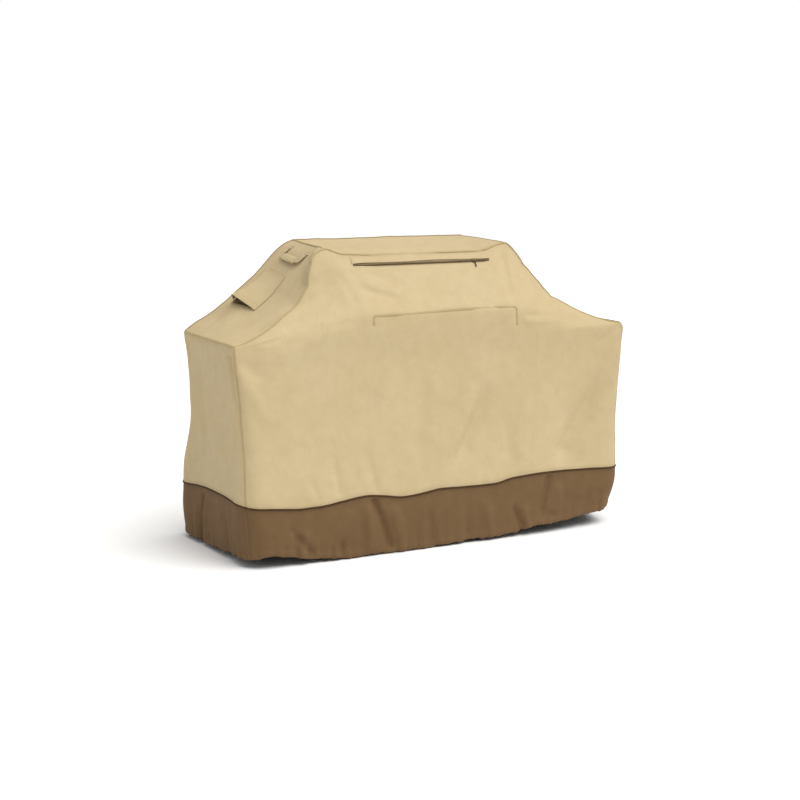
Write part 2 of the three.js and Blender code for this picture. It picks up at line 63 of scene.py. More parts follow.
# ---------------------------------------------------------------- small maths
def pchip(rows):
    """A smooth curve through rows of (x, y...) that doesn't overshoot."""
    rows = np.array(sorted(rows, key=lambda r: r[0]), float)
    x, y = rows[:, 0], rows[:, 1:]
    h, d = np.diff(x)[:, None], None
    d = np.diff(y, axis=0) / h
    m = np.zeros_like(y)
    m[0], m[-1] = d[0], d[-1]
    for i in range(1, len(x) - 1):
        same = d[i - 1] * d[i] > 0
        w1, w2 = 2 * h[i] + h[i - 1], h[i] + 2 * h[i - 1]
        m[i] = np.where(same, (w1 + w2) / (w1 / np.where(same, d[i - 1], 1) + w2 / np.where(same, d[i], 1)), 0)

    def f(q):
        q = np.asarray(q, float)
        flat = np.clip(q.ravel(), x[0], x[-1])
        k = np.clip(np.searchsorted(x, flat, side="right") - 1, 0, len(x) - 2)
        t = ((flat - x[k]) / h[k, 0])[:, None]
        hh = h[k]
        out = (
            y[k] * (2 * t**3 - 3 * t**2 + 1)
            + m[k] * hh * (t**3 - 2 * t**2 + t)
            + y[k + 1] * (-2 * t**3 + 3 * t**2)
            + m[k + 1] * hh * (t**3 - t**2)
        )
        return out[:, 0].reshape(q.shape) if y.shape[1] == 1 else out.reshape(q.shape + (y.shape[1],))

    return f


def smooth(a, b, x):
    t = np.clip((np.asarray(x, float) - a) / (b - a), 0, 1)
    return t * t * (3 - 2 * t)


def unit(v):
    return v / np.maximum(np.linalg.norm(v, axis=-1, keepdims=True), 1e-12)


_table = np.random.RandomState(11).uniform(-1, 1, (4096,))
_mix = np.random.RandomState(5).permutation(4096)


def noise(P, wave, seed=0):
    """Smooth noise from -1 to 1 at points P, with wave the size of its lumps on each axis."""
    Q = P / np.asarray(wave, float) + 17.31 * (seed + 1)
    i = np.floor(Q).astype(int)
    f = Q - i
    f = f * f * f * (f * (f * 6 - 15) + 10)
    out = np.zeros(len(P))
    for dx in (0, 1):
        for dy in (0, 1):
            for dz in (0, 1):
                k = _mix[(i[:, 0] + dx) & 4095]
                k = _mix[(k + i[:, 1] + dy) & 4095]
                k = _mix[(k + i[:, 2] + dz + 31 * seed) & 4095]
                w = (f[:, 0] if dx else 1 - f[:, 0]) * (f[:, 1] if dy else 1 - f[:, 1]) * (f[:, 2] if dz else 1 - f[:, 2])
                out += w * _table[k]
    return out * 1.25


# ---------------------------------------------------------------- the cover's form
half_len = pchip([(0, 872), (120, 882), (234, 886), (450, 879), (700, 884), (866, 889), (1300, 889)])
half_dep = pchip([(0, 336), (120, 338), (234, 330), (480, 303), (700, 286), (800, 280), (866, 280), (1300, 280)])
corner_r = pchip([(0, 110), (234, 95), (450, 78), (650, 50), (790, 22), (866, 7), (1300, 7)])
bell_back = pchip([(400, 1224), (440, 1208), (480, 1179), (527, 1135), (588, 1079), (666, 1018), (712, 984), (777, 938), (835, 905), (870, 879), (889, 866)])
bell_seam = pchip([(415, 1211), (434, 1194), (478, 1136), (515, 1082), (548, 1040), (575, 1008), (608, 980), (648, 956), (700, 926), (755, 902), (806, 884), (855, 871), (889, 866)])
seam_y = lambda x: -95 + (np.abs(x) - 415) / (889 - 415) * (-280 + 95)


# the left hood corner has pulled out into an ear: how far, by height
ear = pchip([(700, 0), (900, 0), (940, 2), (967, 6), (1004, -6), (1049, -5), (1067, -5), (1082, 3), (1114, 21), (1136, 29), (1155, 36), (1175, 46), (1195, 49), (1206, 39), (1211, 14)])
CORNER = {1: HOOD_FRONT, -1: HOOD_FRONT + 14}
_ex = np.linspace(415, 889, 900)
_ez = bell_seam(_ex)
_left_x = np.maximum.accumulate(_ex + ear(_ez))


def seam_top(x):
    """Height of the front's upper edge at x, over the hood and down both shoulders."""
    x = np.asarray(x, float)
    ax = np.abs(x)
    right = np.where(ax < CORNER[1], HOOD_FRONT_Z + 28.0 * smooth(262, 405, ax), bell_seam(np.maximum(ax, 415)))
    left = np.where(ax < CORNER[-1], HOOD_FRONT_Z + 6.0 * smooth(190, 345, ax) + 22.0 * smooth(345, 430, ax), np.interp(ax, _left_x, _ez))
    return np.where(x < 0, left, right)


def arc(f, lo, hi):
    """(x, z) along a bell outline by share of its length."""
    x = np.linspace(lo, hi, 400)
    z = f(x)
    s = np.concatenate([[0], np.cumsum(np.hypot(np.diff(x), np.diff(z)))])
    return lambda t: (np.interp(t, s / s[-1], x), np.interp(t, s / s[-1], z))


back_arc, seam_arc = arc(bell_back, 400, 889), arc(bell_seam, 415, 889)


def shoulder(u, t, side=1):
    """The shoulder's cloth: u from the back edge (0) to the front seam (1), t from the hood (0) down (1)."""
    u, t = np.broadcast_arrays(np.asarray(u, float), np.asarray(t, float))
    bx, bz = back_arc(t)
    sx, sz = seam_arc(t)
    sy = seam_y(sx)
    p = np.stack([bx + (sx - bx) * u, SHOULDER_Y + (sy - SHOULDER_Y) * u, bz + (sz - bz) * u], -1)
    p[..., 0] *= side
    return p


top_seam_z = lambda x: seam_top(np.clip(x, -428.9, 414.9))
on_slope_y = lambda z: -SHOULDER_Y + (z - TAB_Z) * 185.0 / 253.0


# The front as a height field, y over (x, z): the wall, the hood's front slope and its two wings.
def _front_raw(side):
    xs, zs = np.arange(0, 901, 4.0), np.arange(840, 1241, 4.0)
    out = np.zeros((len(xs), len(zs)))
    t = np.linspace(0, 1, 241)
    kz = np.where(t <= 0.76, np.interp(t, [0, 0.38, 0.76], [1210, 1085, TAB_Z]), np.interp(t, [0.76, 1], [TAB_Z, SHOULDER_Z]))
    k0 = 408 if side > 0 else 418
    kx = np.where(t <= 0.76, np.interp(t, [0, 0.38, 0.76], [k0, 368, TAB_HALF + 1]), TAB_HALF + 1)
    ky = np.where(t <= 0.76, on_slope_y(kz), -SHOULDER_Y)
    if side < 0:
        # on the left the wall is drawn up tight, in one line from the shoulder's corner to the tab
        kx = np.where(t > 0.76, TAB_HALF + 1 + (878 - TAB_HALF) * (t - 0.76) / 0.24, kx)
    ex, ez = seam_arc(t)
    if side < 0:
        ex = ex + ear(ez)
    ey = seam_y(ex)
    for i, x in enumerate(xs):
        s = (x - kx) / np.maximum(ex - kx, 1e-6)
        z, y = kz + s * (ez - kz), ky + s * (ey - ky)
        ok = (s >= -0.0) & (s <= 1.3)
        crease = np.interp(zs, [TAB_Z, 1085, 1210], [TAB_HALF + 1, 368, k0])
        wing = x > np.where(zs > TAB_Z, crease, TAB_HALF + 1)
        centre = np.where(zs > TAB_Z, on_slope_y(zs), -SHOULDER_Y)
        if ok.sum() > 2:
            zz, yy = z[ok][::-1], y[ok][::-1]
            order = np.argsort(zz)
            out[i] = np.where(wing, np.interp(zs, zz[order], yy[order]), centre)
        else:
            out[i] = centre
        out[i] = np.where(zs < SHOULDER_Z, -SHOULDER_Y, out[i])
    return xs, zs, out


_fx, _fz, _fy_right = _front_raw(1)
_fy_left = _front_raw(-1)[2]


def _blur(a, sigma):
    k = np.arange(-int(3 * sigma), int(3 * sigma) + 1)
    w = np.exp(-0.5 * (k / sigma) ** 2)
    w /= w.sum()
    for axis in (0, 1):
        # the field is mirrored at x = 0 and runs on flat elsewhere
        pad = [(0, 0), (0, 0)]
        pad[axis] = (len(k) // 2, len(k) // 2)
        b = np.pad(a, pad, mode="edge")
        if axis == 0:
            n = len(k) // 2
            b[:n] = a[1 : n + 1][::-1]
        a = sum(w[j] * np.take(b, range(j, j + a.shape[axis]), axis=axis) for j in range(len(k)))
    return a


def _front_field(_fy, side):
    soft = _blur(_fy, 2.6)
    softer = _blur(_fy, 5.2)
    X, Z = np.meshgrid(_fx, _fz, indexing="ij")
    # the shoulder bend beside the tab is the softest
    wide = smooth(330, 460, X) * smooth(1010, 930, Z)
    soft = soft * (1 - wide) + softer * wide
    top = seam_top(X * side)
    keep = smooth(4, 46, (top - Z) * np.where(X < CORNER[side], 1.0, 0.75)) * smooth(842, 880, Z) * smooth(HALF_L - 3, HALF_L - 60, X)
    return _fy * (1 - keep) + soft * keep


_fields = {1: _front_field(_fy_right, 1), -1: _front_field(_fy_left, -1)}


def front_y(x, z):
    """y of the front at (x, z)."""
    x, z = np.broadcast_arrays(np.asarray(x, float), np.asarray(z, float))
    left = x < 0
    x = np.abs(x)
    a, b, r = half_len(z), half_dep(z), corner_r(z)
    over = np.clip(x - (a - r), 0, 0.72 * r)
    wall = -(b - r + np.sqrt(np.maximum(r * r - over * over, 0)))
    i, j = np.clip(x / 4, 0, len(_fx) - 1.001), np.clip((z - 840) / 4, 0, len(_fz) - 1.001)
    i0, j0 = i.astype(int), j.astype(int)
    fi, fj = i - i0, j - j0
    g = 0.0
    for here, _front in ((~left, _fields[1]), (left, _fields[-1])):
        g = g + here * (
            _front[i0, j0] * (1 - fi) * (1 - fj)
            + _front[i0 + 1, j0] * fi * (1 - fj)
            + _front[i0, j0 + 1] * (1 - fi) * fj
            + _front[i0 + 1, j0 + 1] * fi * fj
        )
    return np.where(z < 852, wall, np.where(z > 866, g, wall + (g - wall) * (z - 852) / 14))


# ---------------------------------------------------------------- height of the piping and the hem, round the cover
RUN = (1704.0, 604.0, 1704.0, 604.0)  # front, right, back, left, between the corner seams
START = (0.0, 1704.0, 2308.0, 4012.0)
WHOLE = 4616.0


def round_curve(rows):
    rows = sorted(rows)
    more = [(s - WHOLE, z) for s, z in rows[-3:]] + rows + [(s + WHOLE, z) for s, z in rows[:3]]
    f = pchip(more)
    return lambda s: f(np.mod(s, WHOLE))


F = lambda x: x + 852.0
Rt = lambda y: 1704.0 + y + 302.0
Bk = lambda x: 2308.0 + 852.0 - x
Lf = lambda y: 4012.0 + 302.0 - y
piping_z = round_curve(
    [(F(x), z) for x, z in [(-850, 242), (-740, 232), (-631, 221), (-559, 223), (-455, 236), (-355, 246), (-275, 237), (-193, 225), (-70, 236), (-24, 242), (100, 238), (225, 236), (307, 251), (390, 257), (463, 260), (560, 258), (669, 255), (822, 247)]]
    + [(Rt(y), z) for y, z in [(-290, 246), (-120, 254), (80, 240), (280, 246)]]
    + [(Bk(x), z) for x, z in [(830, 243), (600, 231), (360, 248), (100, 236), (-150, 228), (-400, 246), (-650, 235), (-830, 238)]]
    + [(Lf(y), z) for y, z in [(280, 236), (150, 246), (10, 255), (-150, 252), (-290, 246)]]
)
hem_z = round_curve(
    [(F(x), z) for x, z in [(-845, 29), (-778, 39), (-709, 36), (-640, 22), (-567, 11), (-424, 2), (-319, 3), (-214, 0.5), (-77, 0.5), (-31, 4), (123, 8), (219, 8), (285, 11), (382, 20), (456, 34), (555, 33), (631, 44), (732, 52), (845, 58)]]
    + [(Rt(y), z) for y, z in [(-250, 52), (-60, 30), (120, 22), (280, 16)]]
    + [(Bk(x), z) for x, z in [(800, 17), (560, 8), (260, 3), (0, 2), (-300, 3), (-600, 9), (-820, 10)]]
    + [(Lf(y), z) for y, z in [(280, 8), (165, 16), (120, 9), (-68, 19), (-180, 24), (-280, 27)]]
)


# ---------------------------------------------------------------- displacement shared by every panel
def outward(P):
    """A direction out of the cover that turns smoothly round its edges."""
    R = 110.0
    x, y, z = P.T
    ax = np.abs(x)
    top = np.where(ax < 407, HOOD_Z, bell_back(np.maximum(ax, 400)))
    lim_x = HALF_L - R
    front = np.where(z > TAB_Z, on_slope_y(np.minimum(z, 1190)), -SHOULDER_Y)
    cx = np.clip(x, -lim_x, lim_x)
    cy = np.clip(y, front + R, SHOULDER_Y - R)
    cz = np.minimum(z, top - R)
    return unit(np.stack([x - cx, y - cy, z - cz], -1) + 1e-6)


def near_line(P, line):
    """(distance to the polyline, share of its length at the nearest point)"""
    line = np.array(line, float)
    best, where = np.full(len(P), 1e9), np.zeros(len(P))
    seg = np.diff(line, axis=0)
    length = np.linalg.norm(seg, axis=1)
    run = np.concatenate([[0], np.cumsum(length)])
    for k in range(len(seg)):
        t = np.clip((P - line[k]) @ seg[k] / max(length[k] ** 2, 1e-9), 0, 1)
        d = np.linalg.norm(P - (line[k] + t[:, None] * seg[k]), axis=1)
        better = d < best
        best[better] = d[better]
        where[better] = ((run[k] + t * length[k]) / run[-1])[better]
    return best, where


# line, height (in is negative), half-width, how it fades at its start and its end
FOLD = 1.35
FOLDS = [
    # the left end's fold that hangs from the shoulder corner, and the ridge on the corner itself
    ([(-886, -236, 850), (-886, -246, 760), (-884, -256, 670), (-880, -276, 600), (-876, -286, 520)], -11, 13, 0.06, 0.5),
    ([(-886, -205, 840), (-886, -214, 740), (-884, -222, 650)], 4, 16, 0.2, 0.5),
    ([(-877, -280, 800), (-846, -286, 740), (-820, -290, 690), (-780, -297, 608), (-750, -305, 520)], 6, 20, 0.15, 0.5),
    ([(-868, -280, 830), (-840, -283, 790), (-790, -285, 750), (-700, -287, 700)], -3, 16, 0.2, 0.5),
    # long drag lines on the front
    ([(232, -292, 690), (212, -299, 610), (150, -308, 500), (84, -318, 390), (30, -325, 290)], -17, 27, 0.4, 0.3),
    ([(176, -294, 680), (146, -303, 570), (80, -313, 450), (10, -324, 320)], 11, 28, 0.4, 0.3),
    ([(-60, -290, 740), (-84, -300, 600), (-112, -312, 470), (-128, -322, 340)], -6, 22, 0.4, 0.3),
    ([(790, -290, 700), (740, -299, 580), (650, -312, 450), (570, -322, 330), (530, -326, 270)], -15, 27, 0.4, 0.2),
    ([(836, -292, 660), (800, -302, 540), (730, -314, 420), (660, -324, 310)], 7, 28, 0.4, 0.2),
    ([(-300, -292, 720), (-330, -302, 560), (-350, -314, 430)], -4, 26, 0.4, 0.4),
    ([(874, -281, 858), (840, -280, 835), (795, -280, 805), (749, -282, 770)], -5, 10, 0.05, 0.5),
    ([(866, -281, 800), (850, -284, 700), (842, -292, 600), (838, -305, 480)], 4, 16, 0.2, 0.5),
    ([(-494, -312, 430), (-486, -318, 360), (-478, -325, 292), (-474, -328, 248)], -2.6, 11, 0.4, 0.1),
    ([(-600, -320, 340), (-580, -326, 285), (-558, -330, 237)], -2.2, 10, 0.4, 0.1),
    ([(-345, -315, 420), (-334, -318, 374), (-318, -325, 300), (-308, -329, 250)], -3, 11, 0.4, 0.05),
    ([(-380, -315, 420), (-372, -320, 350), (-352, -327, 275)], 2, 13, 0.4, 0.1),
    ([(-700, -296, 620), (-660, -306, 500), (-640, -318, 380), (-636, -326, 280)], 3.5, 34, 0.4, 0.2),
    ([(330, -302, 560), (300, -312, 450), (290, -324, 320)], -3.5, 20, 0.4, 0.2),
    ([(420, -300, 590), (370, -312, 450), (350, -324, 310)], 3.5, 26, 0.4, 0.2),
    # round the tab: the cloth below its seam is drawn tight, beside the stubs it breaks
    ([(-346, -281, 946), (-480, -281, 922), (-640, -281, 897), (-800, -281, 872)], -3.2, 10, 0.1, 0.4),
    ([(-346, -276, 972), (-480, -274, 948), (-640, -272, 920), (-780, -272, 890)], 3.4, 15, 0.15, 0.4),
    ([(-560, -282, 880), (-640, -283, 868), (-740, -284, 852)], -4, 13, 0.4, 0.4),
    ([(392, -277, 923), (470, -276, 919), (560, -272, 915), (680, -266, 907)], -5, 9.5, 0.15, 0.4),
    ([(385, -281, 898), (470, -281, 898), (560, -280, 896), (650, -279, 891)], 4.2, 13, 0.15, 0.4),
    # hood
    ([(-380, -185, 1088), (-361, -196, 1073), (-263, -220, 1039), (-162, -243, 1009), (-90, -255, 992)], -5, 15, 0.3, 0.5),
    ([(-330, -176, 1100), (-250, -200, 1066), (-150, -226, 1034), (-70, -242, 1012)], 4, 16, 0.3, 0.5),
    ([(-300, -165, 1115), (-210, -180, 1094), (-110, -196, 1072)], -3, 12, 0.3, 0.5),
    ([(-392, -150, 1130), (-376, -190, 1080), (-352, -240, 1010), (-338, -272, 968)], -4, 13, 0.3, 0.3),
    ([(395, -110, 1188), (373, -150, 1130), (364, -195, 1062), (352, -245, 995), (346, -272, 966)], -5, 11, 0.15, 0.2),
    ([(418, -112, 1180), (400, -160, 1115), (392, -205, 1050), (386, -245, 985)], 3.5, 13, 0.2, 0.3),
    ([(100, -232, 1023), (190, -250, 999), (270, -266, 977)], -2.5, 14, 0.4, 0.4),
    ([(-40, -262, 982), (90, -262, 982), (200, -268, 974)], 2.5, 12, 0.4, 0.4),
    # left and right shoulders
    ([(-440, 60, 1195), (-500, 20, 1145), (-540, -60, 1085)], 3, 14, 0.3, 0.4),
    ([(-480, -70, 1140), (-520, -90, 1090), (-580, -110, 1035)], -3.5, 12, 0.3, 0.4),
    ([(-640, -140, 985), (-720, -160, 935), (-800, -170, 898)], -4, 18, 0.3, 0.4),
    ([(-700, 120, 985), (-780, 60, 925), (-850, 20, 890)], 4, 24, 0.3, 0.4),
    ([(-740, 200, 962), (-800, 170, 920), (-860, 150, 885)], -4, 18, 0.3, 0.4),
    ([(450, 40, 1190), (510, 10, 1130), (550, -70, 1070)], 3, 14, 0.3, 0.4),
    ([(500, -80, 1110), (540, -110, 1060), (600, -130, 1010)], -3.5, 12, 0.3, 0.4),
    ([(650, -130, 980), (720, -150, 935), (810, -150, 893)], -4, 18, 0.3, 0.4),
    # where the right vent sits the seam is thrown into two small breaks
    ([(462, -190, 1100), (478, -150, 1118), (486, -122, 1126), (520, -60, 1128)], -5, 13, 0.35, 0.4),
    ([(520, -190, 1030), (546, -160, 1046), (560, -146, 1050), (600, -80, 1052)], 3.5, 17, 0.35, 0.4),
    ([(560, -220, 970), (590, -180, 984), (600, -168, 988), (640, -110, 990)], -4.5, 12, 0.35, 0.4),
    ([(720, 150, 975), (790, 90, 925), (860, 60, 885)], 4, 24, 0.3, 0.4),
    # left end: broad hanging folds
    ([(-886, 120, 840), (-884, 110, 700), (-884, 90, 520), (-886, 80, 330)], -5, 34, 0.2, 0.3),
    ([(-886, -60, 840), (-884, -70, 640), (-884, -60, 430), (-886, -50, 280)], 5, 40, 0.3, 0.3),
    # right end
    ([(886, -236, 850), (886, -240, 720), (884, -250, 600)], -8, 14, 0.06, 0.5),
    ([(886, 40, 820), (884, 60, 640), (884, 40, 430), (886, 30, 280)], -6, 36, 0.3, 0.3),
    ([(886, 236, 850), (886, 242, 720), (884, 250, 600)], -7, 14, 0.06, 0.5),
    ([(-886, 238, 850), (-886, 244, 720), (-884, 252, 600)], -7, 14, 0.06, 0.5),
    ([(886, -100, 840), (884, -110, 640), (884, -120, 430)], 5, 34, 0.3, 0.4),
    # back
    ([(-860, 281, 850), (-800, 284, 780), (-720, 290, 700), (-640, 300, 600)], -5, 18, 0.1, 0.5),
    ([(860, 281, 850), (810, 284, 780), (730, 290, 690), (660, 300, 580)], -5, 18, 0.1, 0.5),
    ([(-400, 281, 1190), (-430, 281, 1080), (-480, 281, 960), (-520, 290, 760)], -5, 20, 0.1, 0.5),
    ([(400, 281, 1190), (430, 281, 1080), (470, 281, 960), (500, 290, 760)], -5, 20, 0.1, 0.5),
    ([(-250, 284, 900), (-220, 292, 700), (-260, 306, 480), (-280, 322, 290)], 6, 44, 0.4, 0.2),
    ([(120, 284, 880), (150, 292, 700), (120, 306, 480), (140, 322, 290)], -7, 34, 0.4, 0.2),
    ([(380, 284, 860), (360, 292, 700), (400, 306, 480), (390, 322, 290)], 6, 40, 0.4, 0.2),
    ([(-560, 288, 760), (-540, 300, 600), (-580, 314, 420), (-560, 328, 270)], -7, 30, 0.4, 0.2),
    ([(600, 288, 760), (620, 300, 600), (590, 314, 420), (600, 328, 270)], -6, 30, 0.4, 0.2),
    ([(-160, 281, 1190), (-120, 281, 1080), (-130, 281, 960)], -3.5, 26, 0.2, 0.5),
    ([(200, 281, 1190), (170, 281, 1080), (190, 281, 960)], 3.5, 26, 0.2, 0.5),
    # skirt
    ([(-882, 96, 236), (-884, 110, 170), (-882, 128, 90), (-878, 146, 20)], -12, 9, 0.15, 0.0),
    ([(-884, 66, 220), (-885, 84, 120), (-882, 96, 30)], 7, 16, 0.3, 0.0),
    ([(-884, 160, 200), (-885, 172, 120), (-882, 180, 20)], 6, 14, 0.3, 0.0),
    ([(-884, -120, 230), (-886, -130, 140), (-882, -140, 30)], -5, 16, 0.3, 0.0),
    ([(-700, -334, 175), (-660, -338, 110), (-600, -342, 40)], -9, 12, 0.3, 0.0),
    ([(-640, -334, 170), (-650, -338, 110), (-672, -341, 45)], -6, 11, 0.3, 0.0),
    ([(-620, -336, 150), (-632, -340, 90), (-640, -343, 30)], 8, 14, 0.3, 0.0),
    ([(-474, -339, 90), (-470, -342, 50), (-466, -344, 10)], -8, 9, 0.4, 0.0),
    ([(-323, -330, 236), (-312, -333, 190), (-291, -337, 141), (-258, -343, 35), (-252, -344, 8)], -12, 10, 0.05, 0.1),
    ([(-360, -331, 225), (-352, -335, 150), (-338, -342, 40)], 8, 18, 0.2, 0.0),
    ([(-240, -331, 210), (-228, -336, 130), (-205, -342, 30)], 7, 18, 0.3, 0.0),
    ([(320, -335, 150), (330, -338, 110), (356, -341, 57), (366, -343, 20)], -10, 9, 0.25, 0.0),
    ([(360, -336, 140), (376, -340, 90), (392, -342, 35)], 7, 13, 0.3, 0.0),
    ([(505, -329, 250), (493, -331, 225), (466, -336, 143), (452, -340, 90), (440, -342, 45)], -10, 11, 0.05, 0.3),
    ([(560, -331, 220), (540, -336, 150), (510, -340, 80)], 7, 18, 0.3, 0.1),
    ([(90, -332, 200), (96, -338, 110), (104, -343, 20)], -6, 14, 0.4, 0.0),
    ([(-80, -332, 190), (-74, -338, 110), (-66, -343, 15)], -7, 12, 0.4, 0.0),
    ([(180, -332, 200), (196, -338, 110), (214, -343, 20)], 6, 18, 0.4, 0.0),
    ([(700, -332, 180), (690, -337, 110), (684, -340, 60)], -7, 12, 0.4, 0.0),
    ([(886, -140, 230), (886, -150, 130), (878, -160, 50)], -8, 14, 0.2, 0.0),
    ([(886, 60, 230), (886, 70, 130), (880, 90, 30)], -8, 16, 0.2, 0.0),
    ([(-500, 331, 230), (-490, 336, 140), (-470, 342, 20)], -10, 13, 0.2, 0.0),
    ([(-160, 331, 230), (-170, 336, 140), (-190, 342, 20)], -9, 13, 0.2, 0.0),
    ([(250, 331, 230), (262, 336, 140), (280, 342, 20)], -10, 13, 0.2, 0.0),
    ([(500, 331, 230), (520, 336, 140), (530, 342, 20)], -8, 13, 0.2, 0.0),
]


def calm(P):
    """0 where a hard piece lies on or under the cloth, so that it stays put, else 1."""
    x, y, z = P.T
    q = np.ones(len(P))
    # the cord lock at the back of the hem
    q *= 1 - 0.97 * smooth(120, 55, np.hypot(x, (z - 14) * 0.7)) * (y > 200)
    for sx in (-1, 1):
        for sy in (-1, 1):
            q *= 1 - 0.85 * smooth(95, 45, np.hypot(x - sx * 640, z - 198)) * (y * sy > 200)
        # handle and vent on each shoulder
        c = np.array([sx * 478, 108, 1165.0])
        q *= 1 - 0.8 * smooth(165, 110, np.linalg.norm((P - c) * (1, 1, 1), axis=1))
        c = np.array([sx * 618, 130, 1050.0])
        q *= 1 - 0.8 * smooth(190, 130, np.linalg.norm(P - c, axis=1))
    # the zip
    d, _ = near_line(P, [(-318, -143, 1144), (302, -143, 1144)])
    q *= 1 - 0.93 * smooth(42, 16, d)
    return q


def gathers(P, hem):
    """How far the elastic's gathers push the skirt out, P at the hem's outline."""
    x, y, z = P.T
    flat = np.stack([x, y, np.zeros_like(x)], -1)
    warp = 16 * noise(flat, (150, 150, 1), 21)
    # arc coordinate that carries on round the corners
    ang = np.arctan2(y / 340, x / 880)
    s = (np.abs(x) > 790) * y * np.sign(x) - (np.abs(x) <= 790) * x * np.sign(y)
    lobes = np.abs(np.sin(np.pi * (s + warp) / 47.0))
    fine = np.abs(np.sin(np.pi * (s + 1.7 * warp) / 21.0 + 0.7))
    strong = 0.35 + 0.65 * smooth(-0.4, 0.7, noise(flat, (210, 210, 1), 23))
    corner = smooth(60, 10, np.abs(np.abs(x) - 800)) * 0  # corners keep their lobes
    up = np.clip((z - hem) / 150.0, 0, 1)
    height = (1 - up) ** 1.8
    return strong * height * (12.5 * (np.sqrt(lobes + 0.02) - 0.72) + 3.6 * (fine - 0.6)) * (1 - corner)


def displaced(P, hem=None, bigger=1.0):
    """P moved by the cover's drape, folds and crumples."""
    shape = P.shape
    P = P.reshape(-1, 3).astype(float)
    x, y, z = P.T
    O = outward(P)
    low = smooth(860, 240, z)
    hang = noise(P, (260, 260, 900), 1) * (1.0 + 8.0 * low**1.3)
    hang += noise(P, (120, 120, 420), 2) * (0.4 + 3.2 * low**1.5)
    hang += noise(P, (64, 64, 170), 8) * (0.3 + 1.1 * low)
    behind = smooth(150, 275, y)
    hang += behind * (3.4 * noise(P, (150, 300, 520), 12) + 1.7 * noise(P, (70, 300, 260), 13) + 1.0 * noise(P, (44, 300, 110), 14)) * smooth(1215, 1150, z)
    ends = smooth(700, 870, np.abs(x)) * smooth(880, 800, z)
    hang += ends * (2.2 * noise(P, (300, 120, 420), 15) + 1.2 * noise(P, (300, 56, 200), 16))
    taut = smooth(820, 900, z)
    hang += taut * (2.6 * noise(P, (170, 140, 150), 3) + 1.3 * noise(P, (80, 60, 70), 4))
    # faint crumples from folding and packing
    crumple = 0.33 * noise(P, (34, 34, 42), 5) + 0.22 * noise(P, (15, 15, 17), 6)
    ridged = 1 - np.abs(noise(P, (95, 95, 120), 7))
    crumple += 1.2 * np.clip(ridged - 0.82, 0, 1) / 0.18 * 0.7
    total = hang + crumple
    for line, height, wide, a, b in FOLDS:
        line = np.array(line, float)
        lo, hi = line.min(0) - 4 * wide, line.max(0) + 4 * wide
        k = np.where(((P > lo) & (P < hi)).all(1))[0]
        if not len(k):
            continue
        d, s = near_line(P[k], line)
        g = np.exp(-0.5 * (d / wide) ** 2)
        if a > 0:
            g = g * smooth(0, a, s)
        if b > 0:
            g = g * smooth(1, 1 - b, s)
        total[k] += FOLD * height * g * (1.0 + 0.6 * (y[k] > 270))
    if hem is not None:
        total += gathers(P, hem.ravel())
    total *= calm(P) * bigger
    # the back left corner hangs out nearly square, and the front right one is drawn in at the hem
    total += (33 + 8 * smooth(250, 120, z)) * smooth(560, 300, z) * np.exp(-((x + 850) ** 2 + (y - 296) ** 2) / (2 * 62.0**2))
    total -= 30 * smooth(215, 50, z) * np.exp(-((x - 850) ** 2 + (y + 296) ** 2) / (2 * 105.0**2))
    # the front right corner: full above, drawn in from the piping down, its tip rounded off
    total += np.interp(z, [52, 87, 147, 247, 360, 522, 590, 711, 820, 850, 870], [-12, -9, -6, -3, 4, 8.5, 7, 5.5, 6, 5, 0]) * np.exp(-((x - 880) ** 2 + (y + 290) ** 2) / (2 * 80.0**2))
    total -= 5.5 * np.exp(-((x - 889) ** 2 + (y + 280) ** 2 + (z - 866) ** 2) / (2 * 11.0**2))
    # an offset to keep the cloth off the straps and the lining, left at zero and not applied
    strap = np.zeros(len(P))
    return (P + O * total[:, None]).reshape(shape)


# ---------------------------------------------------------------- meshes
def new_mesh(name, verts, faces, mat, attrs=None, smooth_faces=True):
    me = bpy.data.meshes.new(name)
    me.from_pydata((np.asarray(verts) * MM).tolist(), [], [tuple(int(i) for i in f) for f in faces])
    me.update()
    if smooth_faces:
        me.polygons.foreach_set("use_smooth", [True] * len(me.polygons))
    for key, values in (attrs or {}).items():
        values = np.asarray(values, np.float32)
        if values.ndim == 1:
            me.attributes.new(key, "FLOAT", "POINT").data.foreach_set("value", values)
        else:
            me.attributes.new(key, "FLOAT_VECTOR", "POINT").data.foreach_set("vector", values.ravel())
    ob = bpy.data.objects.new(name, me)
    bpy.context.collection.objects.link(ob)
    for m in mat if isinstance(mat, (list, tuple)) else [mat]:
        me.materials.append(m)
    return ob


def grid_normals(G):
    du = np.gradient(G, axis=0)
    dv = np.gradient(G, axis=1)
    return unit(np.cross(du, dv))


